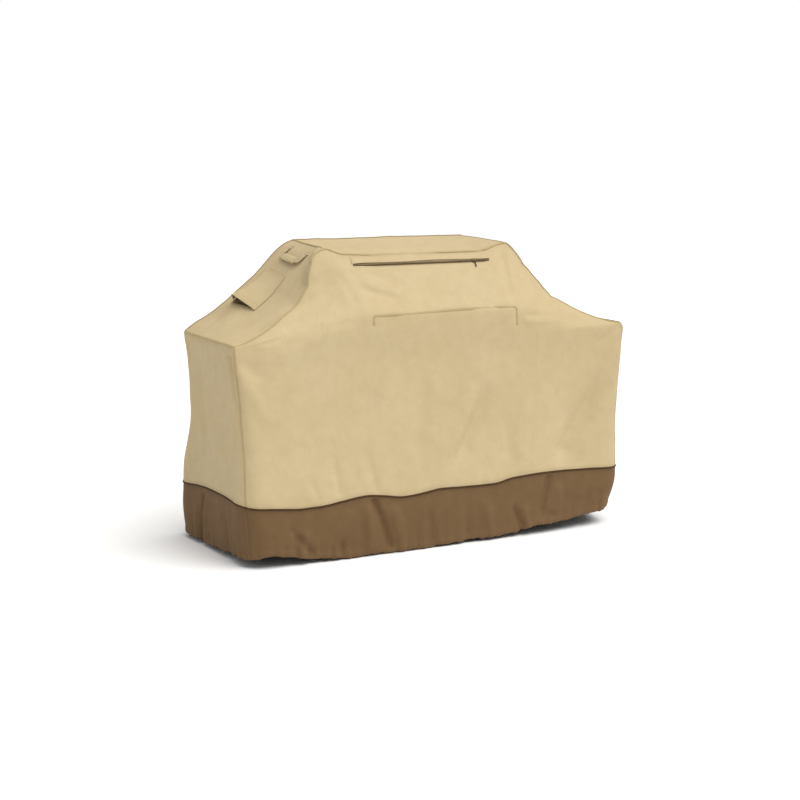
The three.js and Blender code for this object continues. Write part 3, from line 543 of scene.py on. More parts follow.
def cloth(name, G, mat, body="cover", thick=T, replaces=(), holes=None, extra=None):
    """A sheet of cloth from a grid of points on its outer face, (next row) x (next column) pointing out."""
    nu, nv = G.shape[:2]
    N = grid_normals(G)
    inner = G - N * thick
    su = np.concatenate([np.zeros((1, nv)), np.cumsum(np.linalg.norm(np.diff(G, axis=0), axis=2), axis=0)])
    sv = np.concatenate([np.zeros((nu, 1)), np.cumsum(np.linalg.norm(np.diff(G, axis=1), axis=2), axis=1)], axis=1)
    edge = np.minimum(np.minimum(su, su[-1:] - su), np.minimum(sv, sv[:, -1:] - sv))
    mid_u = np.median(su, axis=1)[:, None] * np.ones((1, nv))
    mid_v = np.median(sv, axis=0)[None, :] * np.ones((nu, 1))
    grain = np.stack([mid_u, mid_v, np.zeros_like(mid_u)], -1)
    ids = np.arange(nu * nv).reshape(nu, nv)
    a, b, c, d = ids[:-1, :-1], ids[1:, :-1], ids[1:, 1:], ids[:-1, 1:]
    keep = np.ones(a.shape, bool) if holes is None else ~holes
    outer_f = np.stack([a, b, c, d], -1)[keep]
    n = nu * nv
    inner_f = outer_f[:, ::-1] + n
    # a rim wherever an outer face has no neighbour
    rim = []
    K = np.zeros((nu + 1, nv + 1), bool)
    K[1:nu, 1:nv] = keep
    for i in range(nu - 1):
        for j in range(nv - 1):
            if not keep[i, j]:
                continue
            if not K[i + 1, j]:
                rim.append((ids[i, j], ids[i, j] + n, ids[i + 1, j] + n, ids[i + 1, j]))
            if not K[i + 1, j + 2]:
                rim.append((ids[i + 1, j + 1], ids[i + 1, j + 1] + n, ids[i, j + 1] + n, ids[i, j + 1]))
            if not K[i, j + 1]:
                rim.append((ids[i, j + 1], ids[i, j + 1] + n, ids[i, j] + n, ids[i, j]))
            if not K[i + 2, j + 1]:
                rim.append((ids[i + 1, j], ids[i + 1, j] + n, ids[i + 1, j + 1] + n, ids[i + 1, j + 1]))
    verts = np.concatenate([G.reshape(-1, 3), inner.reshape(-1, 3)])
    faces = outer_f.tolist() + inner_f.tolist() + rim
    used = np.zeros(2 * n, bool)
    used[np.array([i for f in faces for i in f])] = True
    renum = np.cumsum(used) - 1
    faces = [[renum[i] for i in f] for f in faces]
    two = lambda q: np.concatenate([q, q])[used]
    inside = np.concatenate([np.zeros(n), np.ones(n)])[used]
    attrs = {"grain": two(grain.reshape(-1, 3) * MM), "edge": two(edge.ravel() * MM), "inside": inside}
    if extra is not None:
        for k, v in extra.items():
            attrs[k] = two(v.reshape(-1))
    ob = new_mesh(name, verts[used], faces, mat, attrs)
    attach(ob, body)
    if replaces:
        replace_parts(ob, *replaces)
    area = 0.5 * (
        np.linalg.norm(np.cross(G[1:, :-1] - G[:-1, :-1], G[1:, 1:] - G[:-1, :-1]), axis=2)[keep].sum()
        + np.linalg.norm(np.cross(G[1:, 1:] - G[:-1, :-1], G[:-1, 1:] - G[:-1, :-1]), axis=2)[keep].sum()
    )
    return ob, area * 1e-6


def tube(points, d, sides=10, closed=False, squash=1.0, up=None):
    """(verts, faces) of a round tube along points."""
    P = np.asarray(points, float)
    n = len(P)
    if closed:
        tan = unit(np.roll(P, -1, 0) - np.roll(P, 1, 0))
    else:
        tan = unit(np.gradient(P, axis=0))
    ref = np.tile(V3(0, 0, 1), (n, 1)) if up is None else np.asarray(up, float)
    side = unit(np.cross(tan, ref))
    top = unit(np.cross(side, tan))
    a = np.linspace(0, 2 * np.pi, sides, endpoint=False)
    rad = (np.asarray(d, float) / 2) * np.ones(n)
    V = P[:, None] + rad[:, None, None] * (np.cos(a)[None, :, None] * side[:, None] + squash * np.sin(a)[None, :, None] * top[:, None])
    V = V.reshape(-1, 3)
    faces = []
    for i in range(n if closed else n - 1):
        j = (i + 1) % n
        for k in range(sides):
            m = (k + 1) % sides
            faces.append((i * sides + k, i * sides + m, j * sides + m, j * sides + k))
    if not closed:
        faces.append(tuple(range(sides))[::-1])
        faces.append(tuple((n - 1) * sides + k for k in range(sides)))
    return V, faces


def strip(points, normals, width, height, crown=0.35, lift=0.0):
    """(verts, faces, grain) of a flat band along points, lying on the face whose normals are given."""
    P, N = np.asarray(points, float), unit(np.asarray(normals, float))
    tan = unit(np.gradient(P, axis=0))
    side = unit(np.cross(N, tan))
    prof = [(-0.5, -0.35), (-0.5, 0.35), (-0.46, 0.75), (-0.3, 1.0), (-0.1, 1.0 - crown), (0.1, 1.0 - crown), (0.3, 1.0), (0.46, 0.75), (0.5, 0.35), (0.5, -0.35)]
    w = np.asarray(width, float) * np.ones(len(P))
    V = np.stack([P + side * (a * w)[:, None] + N * (b * height + lift) for a, b in prof], 1)
    n, m = len(P), len(prof)
    faces = []
    for i in range(n - 1):
        for k in range(m):
            q = (k + 1) % m
            faces.append((i * m + k, (i + 1) * m + k, (i + 1) * m + q, i * m + q))
    faces.append(tuple(range(m)))
    faces.append(tuple((n - 1) * m + k for k in range(m))[::-1])
    s = np.concatenate([[0], np.cumsum(np.linalg.norm(np.diff(P, axis=0), axis=1))])
    grain = np.stack([np.repeat(s, m), np.tile([a * float(np.mean(w)) for a, _ in prof], n), np.zeros(n * m)], -1)
    return V.reshape(-1, 3), faces, grain


def stitches(points, normals, offset, pitch=4.6, length=3.3, radius=0.42, lift=0.75):
    """(verts, faces) of a row of lockstitches beside a line."""
    P, N = np.asarray(points, float), unit(np.asarray(normals, float))
    tan = unit(np.gradient(P, axis=0))
    side = unit(np.cross(N, tan))
    L = P + side * offset + N * lift
    s = np.concatenate([[0], np.cumsum(np.linalg.norm(np.diff(L, axis=0), axis=1))])
    at = np.arange(pitch / 2, s[-1] - pitch / 2, pitch)
    if not len(at):
        return np.zeros((0, 3)), []
    g = lambda q, A: np.stack([np.interp(q, s, A[:, k]) for k in range(3)], -1)
    c, t, n_, w = g(at, L), unit(g(at, tan)), unit(g(at, N)), unit(g(at, side))
    h = length / 2
    V = np.stack([c - t * h - n_ * 0.35, c - t * h * 0.35 + n_ * radius, c - t * h * 0.35 + w * radius, c - t * h * 0.35 - w * radius, c + t * h * 0.35 + n_ * radius, c + t * h * 0.35 + w * radius, c + t * h * 0.35 - w * radius, c + t * h - n_ * 0.35, c - n_ * radius], 1)
    F_ = [(0, 2, 1), (0, 1, 3), (0, 8, 2), (0, 3, 8), (1, 2, 5, 4), (1, 4, 6, 3), (2, 8, 5), (3, 6, 8), (7, 4, 5), (7, 6, 4), (7, 5, 8), (7, 8, 6)]
    faces = [tuple(9 * i + k for k in f) for i in range(len(at)) for f in F_]
    return V.reshape(-1, 3), faces


class Pile:
    """Several shapes of one material, gathered into one piece."""

    def __init__(self):
        self.v, self.f, self.g = [], [], []
        self.n = 0

    def add(self, v, f, g=None):
        if not len(v):
            return
        self.v.append(np.asarray(v))
        self.f += [tuple(i + self.n for i in q) for q in f]
        self.g.append(np.zeros((len(v), 3)) if g is None else g)
        self.n += len(v)

    def make(self, name, mat, body, slot, smooth_faces=True):
        ob = new_mesh(name, np.concatenate(self.v), self.f, mat, {"grain": np.concatenate(self.g) * MM}, smooth_faces)
        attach(ob, body)
        return ob


# ---------------------------------------------------------------- materials
def lin(r, g, b):
    f = lambda c: c / 12.92 if c <= 0.04045 else ((c + 0.055) / 1.055) ** 2.4
    return tuple(f(c / 255) for c in (r, g, b)) + (1.0,)


class Nodes:
    def __init__(self, name):
        self.m = bpy.data.materials.new(name)
        self.m.use_nodes = True
        self.t = self.m.node_tree
        self.t.nodes.clear()
        self.out = self.t.nodes.new("ShaderNodeOutputMaterial")
        self.b = self.t.nodes.new("ShaderNodeBsdfPrincipled")
        self.t.links.new(self.b.outputs[0], self.out.inputs[0])

    def n(self, kind, **props):
        node = self.t.nodes.new("ShaderNode" + kind)
        for k, v in props.items():
            setattr(node, k, v)
        return node

    def link(self, a, b):
        self.t.links.new(a, b)
        return b

    def math(self, op, a, b=None, clamp=False):
        node = self.n("Math", operation=op, use_clamp=clamp)
        for i, v in enumerate((a, b)):
            if v is None:
                continue
            if isinstance(v, (int, float)):
                node.inputs[i].default_value = v
            else:
                self.link(v, node.inputs[i])
        return node.outputs[0]

    def noise(self, coord, scale, detail=2.0, rough=0.5):
        node = self.n("TexNoise")
        node.inputs["Scale"].default_value = scale
        node.inputs["Detail"].default_value = detail
        node.inputs["Roughness"].default_value = rough
        self.link(coord, node.inputs["Vector"])
        return node.outputs["Fac"]

    def mix(self, fac, a, b, kind="MIX"):
        node = self.n("Mix", data_type="RGBA", blend_type=kind)
        for i, v in ((0, fac), (6, a), (7, b)):
            if isinstance(v, (int, float)):
                node.inputs[i].default_value = v
            elif isinstance(v, tuple):
                node.inputs[i].default_value = v
            else:
                self.link(v, node.inputs[i])
        return node.outputs[2]

    def ramp(self, fac, stops):
        node = self.n("ValToRGB")
        el = node.color_ramp.elements
        while len(el) > 1:
            el.remove(el[-1])
        el[0].position, el[0].color = stops[0]
        for p, c in stops[1:]:
            e = el.new(p)
            e.color = c
        self.link(fac, node.inputs[0])
        return node.outputs[0]

    def attr(self, name):
        return self.n("Attribute", attribute_type="GEOMETRY", attribute_name=name)

    def bump(self, height, strength, distance, after=None):
        node = self.n("Bump")
        node.inputs["Strength"].default_value = strength
        node.inputs["Distance"].default_value = distance
        self.link(height, node.inputs["Height"])
        if after is not None:
            self.link(after, node.inputs["Normal"])
        return node.outputs[0]


def cloth_material(name, base, dark, light, inside, weave=0.0009, seam=0.18, dust=0.0, sheen=0.12):
    """Coated plain-weave polyester: threads over and under, slubs, mottling, painted shade with speckled grime at the
    seams, and rubbed edges.
    """
    q = Nodes(name)
    obj = q.n("TexCoord").outputs["Object"]
    grain = q.attr("grain").outputs["Vector"]
    sep = q.n("SeparateXYZ")
    q.link(grain, sep.inputs[0])
    k = 2 * math.pi / weave
    u, v = q.math("MULTIPLY", sep.outputs[0], k), q.math("MULTIPLY", sep.outputs[1], k)
    su, sv = q.math("SINE", u), q.math("SINE", v)
    over = q.math("MULTIPLY", su, sv)
    big = q.noise(obj, 3.2, 3, 0.5)
    mid = q.noise(obj, 22, 3, 0.55)
    # slubs: threads that are a little thicker, along each direction
    squeeze = q.n("Mapping")
    squeeze.inputs["Scale"].default_value = (60, 1400, 1)
    q.link(grain, squeeze.inputs["Vector"])
    slub_u = q.noise(squeeze.outputs[0], 1.0, 1, 0.5)
    squeeze2 = q.n("Mapping")
    squeeze2.inputs["Scale"].default_value = (1400, 60, 1)
    q.link(grain, squeeze2.inputs["Vector"])
    slub_v = q.noise(squeeze2.outputs[0], 1.0, 1, 0.5)
    slub = q.math("MULTIPLY", q.math("ADD", slub_u, slub_v), 0.5)
    colour = q.mix(q.math("MULTIPLY", q.ramp(big, [(0.3, (0, 0, 0, 1)), (0.7, (1, 1, 1, 1))]), 0.55), base, light)
    colour = q.mix(q.math("MULTIPLY", q.ramp(mid, [(0.35, (0, 0, 0, 1)), (0.75, (1, 1, 1, 1))]), 0.22), colour, dark)
    colour = q.mix(q.math("MULTIPLY", q.ramp(slub, [(0.4, (0, 0, 0, 1)), (0.62, (1, 1, 1, 1))]), 0.16), colour, dark)
    # darker within 30 mm of a panel's edge: painted shade of the seam creases, together with speckled grime; the ridges
    # are rubbed paler
    edge = q.attr("edge").outputs["Fac"]
    near = q.math("SUBTRACT", 1.0, q.math("DIVIDE", edge, 0.030), clamp=True)
    speck = q.noise(obj, 60, 4, 0.6)
    colour = q.mix(q.math("MULTIPLY", q.math("MULTIPLY", near, speck), seam * 2), colour, dark)
    rub = q.math("SUBTRACT", 1.0, q.math("DIVIDE", edge, 0.006), clamp=True)
    colour = q.mix(q.math("MULTIPLY", rub, 0.25), colour, light)
    if dust:
        z = q.n("SeparateXYZ")
        q.link(obj, z.inputs[0])
        low = q.math("SUBTRACT", 1.0, q.math("DIVIDE", z.outputs[2], 0.16), clamp=True)
        colour = q.mix(q.math("MULTIPLY", q.math("MULTIPLY", low, mid), dust), colour, light)
    inner = q.attr("inside").outputs["Fac"]
    colour = q.mix(inner, colour, inside)
    q.link(colour, q.b.inputs["Base Color"])
    rough = q.math("ADD", q.math("MULTIPLY", mid, 0.12), 0.74)
    q.link(rough, q.b.inputs["Roughness"])
    q.b.inputs["Specular IOR Level"].default_value = 0.28
    q.b.inputs["Sheen Weight"].default_value = sheen
    q.b.inputs["Sheen Roughness"].default_value = 0.45
    q.b.inputs["Sheen Tint"].default_value = light
    b1 = q.bump(mid, 0.25, 0.0012)
    b2 = q.bump(slub, 0.25, 0.0003, b1)
    b3 = q.bump(over, 0.35, 0.00012, b2)
    q.link(b3, q.b.inputs["Normal"])
    return q.m


def webbing_material(name, base, dark, rib=0.0016):
    q = Nodes(name)
    obj = q.n("TexCoord").outputs["Object"]
    grain = q.attr("grain").outputs["Vector"]
    sep = q.n("SeparateXYZ")
    q.link(grain, sep.inputs[0])
    k = 2 * math.pi / rib
    # ribs run across in a zigzag, as narrow woven tape has
    zig = q.math("ABSOLUTE", q.math("SINE", q.math("MULTIPLY", sep.outputs[1], k * 0.35)))
    wave = q.math("SINE", q.math("ADD", q.math("MULTIPLY", sep.outputs[0], k), q.math("MULTIPLY", zig, 2.2)))
    mid = q.noise(obj, 90, 3, 0.55)
    colour = q.mix(q.math("MULTIPLY", q.math("ADD", q.math("MULTIPLY", wave, 0.5), 0.5), 0.45), base, dark)
    colour = q.mix(q.math("MULTIPLY", mid, 0.3), colour, dark)
    q.link(colour, q.b.inputs["Base Color"])
    q.link(q.math("ADD", q.math("MULTIPLY", mid, 0.15), 0.66), q.b.inputs["Roughness"])
    q.b.inputs["Sheen Weight"].default_value = 0.15
    q.link(q.bump(wave, 0.5, 0.0003, q.bump(mid, 0.2, 0.0004)), q.b.inputs["Normal"])
    return q.m


def plastic_material(name, base, light, rough=0.42):
    q = Nodes(name)
    obj = q.n("TexCoord").outputs["Object"]
    fine, mid = q.noise(obj, 900, 2, 0.5), q.noise(obj, 70, 3, 0.6)
    colour = q.mix(q.math("MULTIPLY", mid, 0.35), base, light)
    point = q.n("NewGeometry").outputs["Pointiness"]
    worn = q.ramp(point, [(0.5, (0, 0, 0, 1)), (0.58, (1, 1, 1, 1))])
    colour = q.mix(q.math("MULTIPLY", worn, 0.35), colour, light)
    q.link(colour, q.b.inputs["Base Color"])
    q.link(q.math("ADD", q.math("MULTIPLY", mid, 0.2), rough - 0.1), q.b.inputs["Roughness"])
    q.link(q.bump(fine, 0.15, 0.0001), q.b.inputs["Normal"])
    return q.m


def metal_material(name, base):
    q = Nodes(name)
    obj = q.n("TexCoord").outputs["Object"]
    m = q.n("Mapping")
    m.inputs["Scale"].default_value = (60, 900, 900)
    q.link(obj, m.inputs["Vector"])
    brush = q.noise(m.outputs[0], 1.0, 3, 0.6)
    mid = q.noise(obj, 140, 3, 0.6)
    colour = q.mix(q.math("MULTIPLY", mid, 0.4), base, (base[0] * 0.5, base[1] * 0.48, base[2] * 0.45, 1))
    q.link(colour, q.b.inputs["Base Color"])
    q.b.inputs["Metallic"].default_value = 1.0
    q.link(q.math("ADD", q.math("MULTIPLY", brush, 0.25), 0.22), q.b.inputs["Roughness"])
    q.link(q.bump(brush, 0.1, 0.0001), q.b.inputs["Normal"])
    return q.m


TAN, TAN_D, TAN_L = lin(190, 171, 132), lin(168, 147, 108), lin(200, 182, 145)
tan = cloth_material("tan_cloth", TAN, TAN_D, TAN_L, lin(178, 172, 158))
# the felled seam bands are a darker tan than the cloth: painted shade of the seam lines
seam_m = cloth_material("tan_seam", lin(176, 155, 113), lin(148, 126, 84), lin(190, 170, 128), lin(160, 150, 130), seam=0.0)
brown = cloth_material("brown_cloth", lin(107, 82, 52), lin(84, 62, 37), lin(118, 92, 61), lin(90, 80, 66), dust=0.25)
brown_cord = cloth_material("piping_cloth", lin(66, 44, 18), lin(44, 28, 10), lin(80, 56, 28), lin(56, 40, 22), weave=0.0007, seam=0.0)
tape_m = webbing_material("zip_tape_cloth", lin(172, 150, 108), lin(140, 118, 80))
webbing_m = webbing_material("tan_webbing", lin(192, 172, 132), lin(168, 147, 106))
black_web = webbing_material("black_webbing", lin(44, 41, 38), lin(22, 20, 19))
thread_m = webbing_material("tan_thread", lin(176, 152, 108), lin(134, 110, 70), rib=0.0008)
brown_thread = webbing_material("brown_thread", lin(96, 72, 48), lin(66, 48, 30), rib=0.0008)
black_p = plastic_material("black_acetal", lin(30, 28, 27), lin(62, 58, 54))
coil_m = plastic_material("zip_coil_nylon", lin(104, 80, 50), lin(128, 102, 68), 0.5)
pull_m = plastic_material("pull_tab_moulding", lin(46, 30, 16), lin(74, 50, 30), 0.55)
steel_m = metal_material("zinc_plate", lin(104, 86, 62))
elastic_m = webbing_material("shock_cord", lin(48, 44, 40), lin(24, 22, 20), rib=0.0012)
mesh_m = webbing_material("vent_mesh_thread", lin(150, 127, 86), lin(112, 92, 58), rib=0.0008)

# ---------------------------------------------------------------- panels
seams, sewing, brown_sewing = Pile(), Pile(), Pile()


def spaced(lo, hi, step, fine=2.2, near=(14, 5)):
    """Values from lo to hi, closer together at both ends."""
    first = [0, 2, 5, 9, 14]
    inner = np.linspace(lo + 14, hi - 14, max(2, int(round((hi - lo - 28) / step)) + 1))
    return np.concatenate([lo + np.array(first[:-1]), inner, hi - np.array(first[:-1][::-1])])


ZSLOT = (-322.0, 306.0, 1138.3, 1150.4)  # the zip's slot: x from and to, z from and to


def front_cloth():
    half = spaced(0, 887, 8.2)[4:]
    cols = np.concatenate([-half, half, [0.0, -429, -415, 415, ZSLOT[0], ZSLOT[1]], -np.arange(470, 530, 2.7), np.arange(416, 470, 5.0)])
    cols = np.unique(np.round(cols, 2))
    cols = cols[np.concatenate([[True], np.diff(cols) > 0.9]) | np.isin(cols, ZSLOT[:2])]
    S = F(cols * 852 / 887)
    top = seam_top(cols)
    low = piping_z(S)
    zn = np.unique(np.concatenate([[240, 242, 244.5, 248], np.arange(254, 1126, 8.2), np.arange(1128, 1136, 4), ZSLOT[2:], [1136.3, 1144.3, 1152.5, 1157, 1163, 1169, 1174, 1178, 1181, 1183]]))
    G = np.zeros((len(cols), len(zn), 3))
    for i, x0 in enumerate(cols):
        z = zn + (low[i] - 240) * smooth(700, 240, zn) + (top[i] - 1183) * (zn - 240) / 943.0
        zc = z
        a, r = half_len(zc), corner_r(zc)
        xc = a - r * (1 - math.sin(math.pi / 4))
        x = x0 / 887.0 * np.where(zc < 866, xc, 887)
        G[i, :, 0], G[i, :, 1], G[i, :, 2] = x, front_y(x, z), z
    # the top edge meets the hood and the shoulders
    G[:, -1, 1] = np.where((cols < CORNER[1]) & (cols > -CORNER[-1]), on_slope_y(top), seam_y(cols))
    slot = ((cols[:-1, None] >= ZSLOT[0] - 0.01) & (cols[1:, None] <= ZSLOT[1] + 0.01)) & ((zn[None, :-1] >= ZSLOT[2] - 0.01) & (zn[None, 1:] <= ZSLOT[3] + 0.01))
    return G, slot


G_front, front_slot = front_cloth()


def wall_grid(side, step, top_of, rows):
    """An end or back wall from the piping up, columns from corner seam to corner seam."""
    run = RUN[side]
    n = int(run / step)
    f = np.linspace(-1, 1, n)
    edge = np.array([-1, -0.9975, -0.994, -0.988])
    f = np.unique(np.concatenate([f, edge, -edge]))
    G = np.zeros((len(f), rows, 3))
    S = START[side] + (f + 1) / 2 * run
    low = piping_z(S)
    v = np.concatenate([[0, 0.003, 0.007, 0.013], np.linspace(0.022, 0.978, rows - 8), [0.987, 0.993, 0.997, 1.0]])
    for i, q in enumerate(f):
        z = low[i] + (top_of(q) - low[i]) * v
        a, b, r = (half_len(z), half_dep(z), corner_r(z)) if side % 2 == 0 else (half_dep(z), half_len(z), corner_r(z))
        edge_x = a - r * (1 - math.sin(math.pi / 4))
        x = q * edge_x
        over = np.clip(np.abs(x) - (a - r), 0, r * 0.7072)
        y = b - r + np.sqrt(np.maximum(r * r - over * over, 0))
        if side == 0:
            G[i] = np.stack([x, -y, z], -1)
        elif side == 2:
            G[i] = np.stack([-x, y, z], -1)
        elif side == 1:
            G[i] = np.stack([y, x, z], -1)
        else:
            G[i] = np.stack([-y, -x, z], -1)
    return G, S


def back_top(q):
    x = abs(q) * 887
    return HOOD_Z if x < 400 else float(bell_back(x))


G_back, _ = wall_grid(2, 8.6, back_top, 112)
G_right, _ = wall_grid(1, 8.4, lambda q: SHOULDER_Z, 78)
G_left, _ = wall_grid(3, 8.4, lambda q: SHOULDER_Z, 78)
# corner seams: the front's edge columns and the ends' edge columns are one line
D_front = displaced(G_front)
D_back, D_right, D_left = displaced(G_back), displaced(G_right), displaced(G_left)


def refit(target, line):
    """target's points moved to the same heights on line."""
    z = target[:, 2]
    k = np.argsort(line[:, 2])
    return np.stack([np.interp(z, line[k, 2], line[k, j]) for j in range(2)] + [z], -1)


D_left[-1] = refit(D_left[-1], D_front[0])
D_right[0] = refit(D_right[0], D_front[-1])
D_left[0] = refit(D_left[0], D_back[-1])
D_right[-1] = refit(D_right[-1], D_back[0])

front_ob, front_area = cloth("front_cloth", D_front, tan, replaces=("front_panel", "hood_front_panel"), holes=front_slot)
back_ob, back_area = cloth("back_cloth", D_back, tan, replaces=("back_panel",))
left_ob, left_area = cloth("left_end_cloth", D_left, tan, replaces=("left_end_panel",))
right_ob, right_area = cloth("right_end_cloth", D_right, tan, replaces=("right_end_panel",))

# shoulders, with the vent's opening left out
HOLE = {"t": (0.36, 0.605), "u": (0.14, 0.52)}


def mouth(u):
    """How far past the row t = 0.605 the vent's opening runs, at u: it reaches out from under the lip at its back corner."""
    u = np.asarray(u, float)
    return 0.030 * smooth(0.07, 0.14, u) * np.clip((0.53 - u) / 0.36, 0, 1)


shoulder_obs = {}
for side, sname in ((1, "right"), (-1, "left")):
    u = np.unique(np.concatenate([np.linspace(0, 1, 66), [0.004, 0.01, 0.99, 0.996]]))
    t = np.unique(np.concatenate([np.linspace(0, 1, 74), [0.004, 0.01, 0.99, 0.996]]))
    U, TT = np.meshgrid(u, t, indexing="ij")
    TT = TT + mouth(U) * smooth(0.47, 0.60, TT) * smooth(0.74, 0.61, TT)
    G = shoulder(U, TT, side)
    if side < 0:
        out = ear(seam_arc(TT)[1]) * smooth(0.72, 1, U)
        G[..., 0] -= out
        G[..., 1] -= out * 185 / 474
    if side > 0:
        G = G[:, ::-1]
        tt = t[::-1]
        G = G[::-1]
        uu = u[::-1]
    else:
        tt, uu = t[::-1], u
        G = G[:, ::-1]
    D = displaced(G)
    Uc = (uu[:-1] + uu[1:]) / 2
    Tc = (tt[:-1] + tt[1:]) / 2
    hole = ((Uc[:, None] > HOLE["u"][0]) & (Uc[:, None] < HOLE["u"][1])) & ((Tc[None, :] > HOLE["t"][0]) & (Tc[None, :] < HOLE["t"][1]))
    n_out = grid_normals(D)
    if n_out[30, 30, 2] < 0:
        D, hole, n_out = D[::-1], hole[::-1], -n_out[::-1]
    ob, area = cloth(f"{sname}_shoulder_cloth", D, tan, replaces=(f"{sname}_shoulder_panel",), holes=hole)
    shoulder_obs[sname] = (ob, area, D, n_out)

# hood top
half = spaced(0, 415, 8.2)[4:]
xs = np.unique(np.round(np.concatenate([-half * CORNER[-1] / 415, half, [0.0]]), 3))
v = np.unique(np.concatenate([np.linspace(0, 1, 50), [0.004, 0.01, 0.99, 0.996]]))
G_top = np.zeros((len(xs), len(v), 3))
for i, x in enumerate(xs):
    a = V3(x, on_slope_y(top_seam_z(x)), top_seam_z(x))
    b = V3(x / CORNER[1 if x > 0 else -1] * HOOD_BACK, SHOULDER_Y, HOOD_Z)
    G_top[i] = a + (b - a) * v[:, None]
    if x < 0:
        # its left edge follows the ear
        share = -x / CORNER[-1]
        straight = CORNER[-1] + (HOOD_BACK - CORNER[-1]) * v
        bent = HOOD_FRONT + (HOOD_BACK - HOOD_FRONT) * v + 14 * smooth(0.72, 1, 1 - v)
        G_top[i, :, 0] -= share**3 * (bent - straight)
    # the cloth stands a little proud behind the front seam
    G_top[i, :, 2] += 5 * math.exp(-((x / 300) ** 2)) * np.sin(np.pi * v) ** 0.7
D_top = displaced(G_top)
top_ob, top_area = cloth("hood_top_cloth", D_top, tan, replaces=("hood_top_panel",))

# ---------------------------------------------------------------- skirt
SKIRT = {}


def skirt_grid(side, step):
    run = RUN[side]
    n = int(run / step)
    f = np.linspace(-1, 1, n)
    S = START[side] + (f + 1) / 2 * run
    zp, zh = piping_z(S), hem_z(S)
    rows_out = np.linspace(0, 1, 30) ** 0.92
    # (inwards, height over the hem) of the turned-up channel, from its inner top down and round
    turn = [(2.6, 37.5), (5.5, 36.6), (9.0, 33.5), (10.6, 28), (11.4, 20), (11.6, 12), (11.0, 5), (9.0, 1.2), (6.0, 0.0), (3.0, 0.1), (0.4, 2.0), (-1.2, 6.0), (-2.0, 12.0), (-2.0, 20.0), (-1.2, 28.0), (0.2, 35.0)]
    G = np.zeros((n, len(turn) + len(rows_out) - 1, 3))
    H = np.zeros(G.shape[:2])
    for i, q in enumerate(f):
        z = np.concatenate([zh[i] + np.array([h for _, h in turn]), (zh[i] + 35.0) + (zp[i] - zh[i] - 35.0) * rows_out[1:]])
        inn = np.concatenate([[w for w, _ in turn], np.zeros(len(rows_out) - 1)])
        inn[len(turn) :] += 0.8 * np.exp(-((np.arange(len(rows_out) - 1) + 0.3) ** 2) / 2)
        a, b, r = (half_len(z), half_dep(z), corner_r(z)) if side % 2 == 0 else (half_dep(z), half_len(z), corner_r(z))
        # the hem is drawn in a little at the ends
        edge_x = a - r * (1 - math.sin(math.pi / 4))
        x = q * edge_x
        over = np.clip(np.abs(x) - (a - r), 0, r * 0.7072)
        cx, cy = np.sign(x) * over / r, np.sqrt(np.maximum(1 - (over / r) ** 2, 0))
        y = b - r + r * cy
        x, y = x - inn * cx, y - inn * cy
        P = {0: np.stack([x, -y, z], -1), 2: np.stack([-x, y, z], -1), 1: np.stack([y, x, z], -1), 3: np.stack([-y, -x, z], -1)}[side]
        G[i] = P
        H[i] = zh[i]
    return G, H, S


for side, sname in ((0, "front"), (1, "right"), (2, "back"), (3, "left")):
    G, H, S = skirt_grid(side, 7.0)
    # everything in the channel moves with the wall beside it, so the channel keeps its shape
    ref = G.copy()
    ch = 16
    for j in range(ch):
        ref[:, j, :2] = G[:, ch, :2]
    moved = displaced(ref, np.broadcast_to(H, G.shape[:2])) - ref
    D = G + moved
    # small scallops along the hem, where the gathers draw it up
    P0 = G[:, ch]
    flat = np.stack([P0[:, 0], P0[:, 1], 0 * P0[:, 0]], -1)
    scallop = 4.4 * np.abs(noise(flat, (38, 38, 1), 31)) + 2.4 * np.abs(noise(flat, (16, 16, 1), 32)) + 5 * np.clip(noise(flat, (120, 90, 1), 33), 0, 1) * (flat[:, 0] < -700)
    fade = np.exp(-np.clip(G[:, :, 2] - H, 0, 1e9) / 45.0)
    D[:, :, 2] += scallop[:, None] * fade * calm(P0)[:, None]
    D[:, :, 2] = np.maximum(D[:, :, 2], 0.4)
    SKIRT[sname] = (D, H, S)

# corners of neighbouring skirts meet
order = ["front", "right", "back", "left"]
for a, b in zip(order, order[1:] + order[:1]):
    A, B = SKIRT[a][0], SKIRT[b][0]
    mid = (A[-1] + B[0]) / 2
    A[-1], B[0] = mid, mid
# the skirt's top edge is the body's bottom edge
body_low = np.concatenate([D_front[:, 0], D_right[:, 0][1:], D_back[:, 0][1:], D_left[:, 0][1:]])
skirt_obs = {}
for sname, panel in (("front", D_front), ("right", D_right), ("back", D_back), ("left", D_left)):
    D, H, S = SKIRT[sname]
    edge = panel[:, 0]
    axis = 0 if sname in ("front", "back") else 1
    key = edge[:, axis]
    k = np.argsort(key)
    want = D[:, -1, axis]
    target = np.stack([np.interp(want, key[k], edge[k, j]) for j in range(3)], -1)
    shift = target - D[:, -1]
    w = np.linspace(0, 1, D.shape[1]) ** 3
    D += shift[:, None] * w[None, :, None]
    ob, area = cloth(f"{sname}_skirt_cloth", D, brown, replaces=(f"{sname}_skirt",))
    skirt_obs[sname] = (ob, area, D)

# piping: a cord wrapped in bias-cut cloth, sewn into the seam all round
ring = np.concatenate([SKIRT[s][0][:, -1][:-1] for s in order])
keep = np.concatenate([[True], np.linalg.norm(np.diff(ring, axis=0), axis=1) > 2.0])
ring = ring[keep]
s_ = np.concatenate([[0], np.cumsum(np.linalg.norm(np.diff(np.vstack([ring, ring[:1]]), axis=0), axis=1))])
for _ in range(2):
    ring = (np.roll(ring, 1, 0) + 2 * ring + np.roll(ring, -1, 0)) / 4
ring_out = outward(ring)
V_, F_ = tube(ring + ring_out * 1.6, 6.6, 12, closed=True)
g = np.stack([np.repeat(np.arange(len(ring)) * 7.0, 12), np.tile(np.arange(12) * 1.6, len(ring)), np.zeros(12 * len(ring))], -1)
piping = new_mesh("skirt_piping_cord", V_, F_, brown_cord, {"grain": g * MM, "edge": np.full(len(V_), 1.0), "inside": np.zeros(len(V_))})
